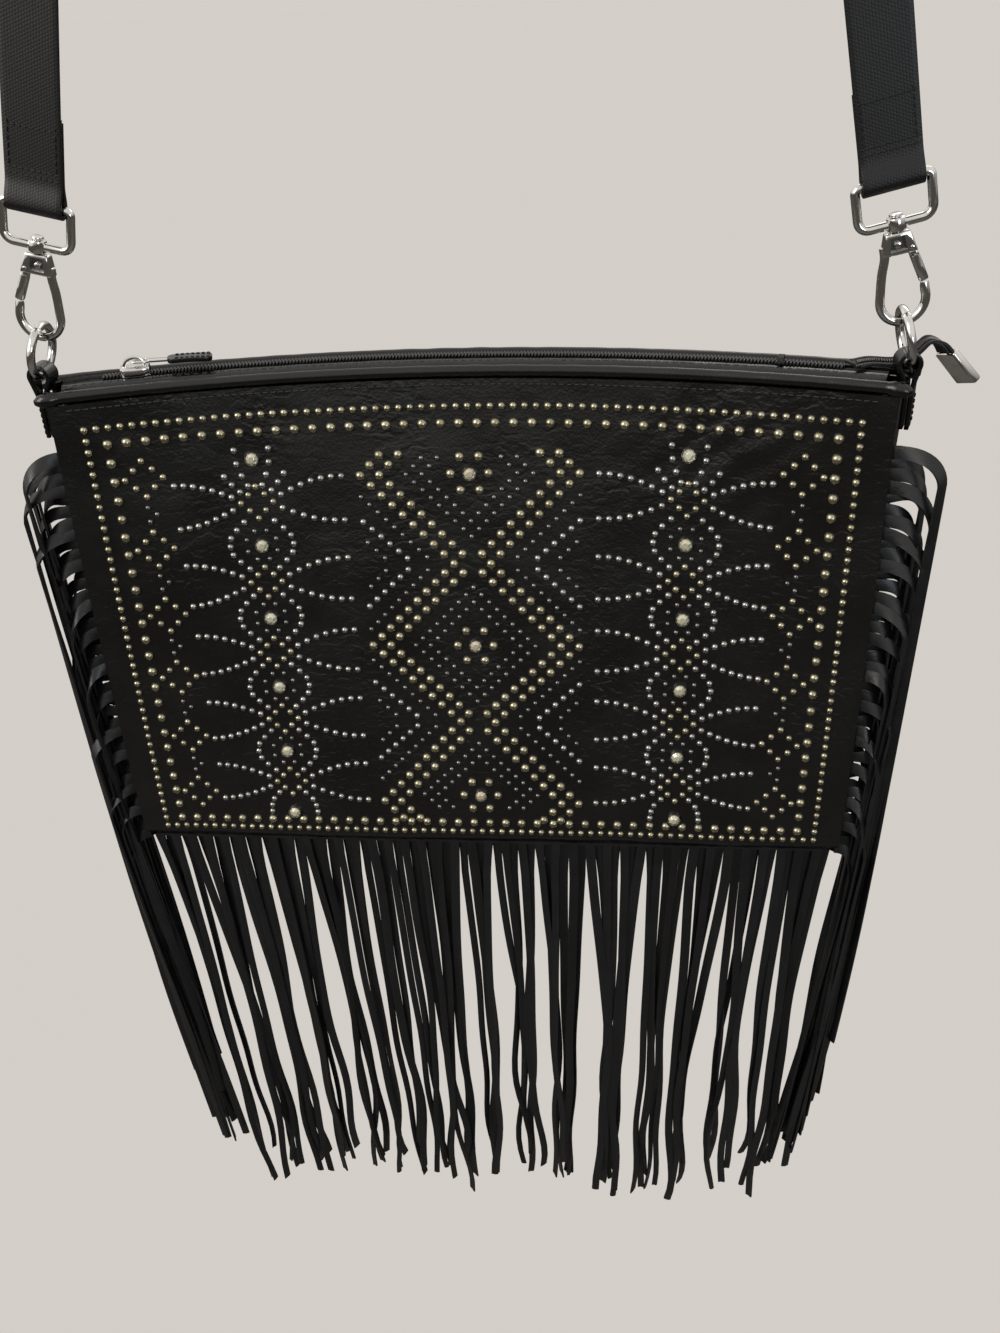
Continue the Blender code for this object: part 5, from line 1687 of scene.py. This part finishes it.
def make_stage(shape, stage):
    """Pale floor and surroundings, soft light from the upper left, and the camera."""
    floor = added(bpy.ops.mesh.primitive_plane_add, size=60, location=(0, 0, -stage.floor_drop))
    floor.name = "floor"
    floor.data.materials.append(backdrop_material())

    world = bpy.context.scene.world or bpy.data.worlds.new("surroundings")
    bpy.context.scene.world = world
    world.use_nodes = True
    world.node_tree.nodes.clear()
    tree = Tree(world.node_tree)
    rays = tree.add("LightPath")
    up = tree.add("SeparateXYZ", {0: tree.add("TexCoord").outputs["Generated"]})
    sky = tree.ramp(up.outputs["Z"], -0.22, 0.45, 0.0, 1.0)
    sides = tree.times(tree.ramp(up.outputs["X"], -0.35, -0.80, 0.0, 1.0), 0.5)
    glow = tree.math("ADD", tree.times(sky, 0.8), sides)
    seen = tree.mix(tree.math("MINIMUM", glow, 1.0), (0.10, 0.097, 0.092, 1), (1.0, 0.97, 0.93, 1))
    lit = tree.mix(rays.outputs["Is Glossy Ray"], (0.24, 0.235, 0.23, 1), seen)
    shown = tree.mix(rays.outputs["Is Camera Ray"], lit, hue("backdrop"))
    ground = tree.add("Background", {"Color": shown, "Strength": 1.0})
    tree.add("OutputWorld", {"Surface": ground.outputs[0]})

    aim = (0.0, 0.0, shape.top_z - 0.1)
    soft_light("key_light", (-0.95, -0.85, 0.15), aim, (0.7, 0.9), stage.key_power,
               (1.0, 0.97, 0.93))
    soft_light("fill_light", (0.75, -1.20, -0.42), aim, (0.45, 0.35), stage.fill_power,
               (0.80, 0.90, 1.0))
    soft_light("rim_light", (0.5, 1.1, 0.2), aim, (0.9, 0.5), stage.fill_power, (1.0, 0.98, 0.95))

    camera = added(bpy.ops.object.camera_add, location=tuple(stage.camera_place))
    camera.name = "camera"
    pitch, yaw, roll = stage.camera_pitch, -stage.camera_yaw, -stage.camera_roll
    forward = Vector((math.sin(yaw) * math.cos(pitch), math.cos(yaw) * math.cos(pitch),
                      -math.sin(pitch)))
    right = Vector((math.cos(yaw), -math.sin(yaw), 0))
    up = right.cross(forward)
    turned_right = right * math.cos(roll) + up * math.sin(roll)
    turned_up = up * math.cos(roll) - right * math.sin(roll)
    matrix = Matrix((turned_right, turned_up, -forward)).transposed().to_4x4()
    matrix.translation = camera.location
    camera.matrix_world = matrix
    camera.data.sensor_fit = "AUTO"
    camera.data.sensor_width = 36.0
    camera.data.lens = stage.camera_lens
    camera.data.clip_start = 0.01
    camera.data.clip_end = 200.0
    camera.data.dof.use_dof = False
    bpy.context.scene.camera = camera
    bpy.context.scene.view_settings.view_transform = "Standard"


class BAG_OT_body(bpy.types.Operator):
    """Front and back leather and the gusset between them"""
    bl_idname = "bag.body"
    bl_label = "Leather Body"

    def execute(self, context):
        shape = Shape()
        make_front(shape)
        make_back(shape)
        make_gusset(shape)
        make_seams(shape)
        return {"FINISHED"}


class BAG_OT_mouth(bpy.types.Operator):
    """Piping, facings, zip tapes and teeth along the mouth"""
    bl_idname = "bag.mouth"
    bl_label = "Mouth and Zip"

    def execute(self, context):
        shape = Shape()
        make_piping(shape)
        make_lips(shape)
        make_teeth(shape, context.scene.bag_zip)
        return {"FINISHED"}


class BAG_OT_slider(bpy.types.Operator):
    """Zip slider, its bail, pull and leather tab"""
    bl_idname = "bag.slider"
    bl_label = "Slider and Pull"

    def execute(self, context):
        make_slider(Shape(), context.scene.bag_zip)
        return {"FINISHED"}


class BAG_OT_tail(bpy.types.Operator):
    """The zip's free end with its metal clip"""
    bl_idname = "bag.tail"
    bl_label = "Zip Tail"

    def execute(self, context):
        make_tail(Shape(), context.scene.bag_zip)
        return {"FINISHED"}


class BAG_OT_studs(bpy.types.Operator):
    """Studs and crystals of the front"""
    bl_idname = "bag.studs"
    bl_label = "Studs"

    def execute(self, context):
        make_studs(Shape(), context.scene.bag_studs)
        return {"FINISHED"}


class BAG_OT_bottom_fringe(bpy.types.Operator):
    """Long strips under the bag"""
    bl_idname = "bag.bottom_fringe"
    bl_label = "Bottom Fringe"

    def execute(self, context):
        make_bottom_fringe(Shape(), context.scene.bag_fringe)
        return {"FINISHED"}


class BAG_OT_side_fringe(bpy.types.Operator):
    """Strips along both side seams"""
    bl_idname = "bag.side_fringe"
    bl_label = "Side Fringes"

    def execute(self, context):
        shape = Shape()
        for side, word in SIDES:
            make_side_fringe(shape, context.scene.bag_fringe, side, word)
        return {"FINISHED"}


class BAG_OT_strap(bpy.types.Operator):
    """Webbing strap with its sewn folds"""
    bl_idname = "bag.strap"
    bl_label = "Strap"

    def execute(self, context):
        make_strap(Shape())
        return {"FINISHED"}


class BAG_OT_hooks(bpy.types.Operator):
    """Eyes, swivel hooks and gates at both ends of the strap"""
    bl_idname = "bag.hooks"
    bl_label = "Hooks"

    def execute(self, context):
        shape = Shape()
        for side, word in SIDES:
            make_eye(shape, side, word)
            make_hook(shape, side, word)
        return {"FINISHED"}


class BAG_OT_rings(bpy.types.Operator):
    """Rings and the leather tabs that hold them"""
    bl_idname = "bag.rings"
    bl_label = "Rings and Tabs"

    def execute(self, context):
        shape = Shape()
        for side, word in SIDES:
            make_ring(shape, side, word)
            make_tab(shape, side, word)
        return {"FINISHED"}


class BAG_OT_stage(bpy.types.Operator):
    """Floor, light and camera"""
    bl_idname = "bag.stage"
    bl_label = "Stage"

    def execute(self, context):
        make_stage(Shape(), context.scene.bag_stage)
        return {"FINISHED"}


STEPS = (BAG_OT_body, BAG_OT_mouth, BAG_OT_slider, BAG_OT_tail, BAG_OT_studs, BAG_OT_bottom_fringe,
         BAG_OT_side_fringe, BAG_OT_strap, BAG_OT_hooks, BAG_OT_rings, BAG_OT_stage)
GROUPS = (("bag_sizes", BagSizes, "Bag"), ("bag_zip", ZipSizes, "Zip"),
          ("bag_studs", StudSizes, "Studs"), ("bag_fringe", FringeSizes, "Fringe"),
          ("bag_colours", BagColours, "Colours"), ("bag_stage", StageSizes, "Stage"))


class BAG_PT_sidebar(bpy.types.Panel):
    """Sizes, colours and build steps of the bag"""
    bl_idname = "BAG_PT_sidebar"
    bl_label = "Fringed Bag"
    bl_space_type = "VIEW_3D"
    bl_region_type = "UI"
    bl_category = "Bag"

    def draw(self, context):
        for key, group, label in GROUPS:
            box = self.layout.box()
            box.label(text=label)
            for name in group.__annotations__:
                box.prop(getattr(context.scene, key), name)
        for step in STEPS:
            self.layout.operator(step.bl_idname)


def register():
    for key, group, label in GROUPS:
        bpy.utils.register_class(group)
        setattr(bpy.types.Scene, key, bpy.props.PointerProperty(type=group))
    for step in STEPS:
        bpy.utils.register_class(step)
    bpy.utils.register_class(BAG_PT_sidebar)


def unregister():
    bpy.utils.unregister_class(BAG_PT_sidebar)
    for step in reversed(STEPS):
        bpy.utils.unregister_class(step)
    for key, group, label in reversed(GROUPS):
        delattr(bpy.types.Scene, key)
        bpy.utils.unregister_class(group)


def main():
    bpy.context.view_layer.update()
    register()
    for step in STEPS:
        group, name = step.bl_idname.split(".")
        getattr(getattr(bpy.ops, group), name)()


if __name__ == "__main__":
    main()
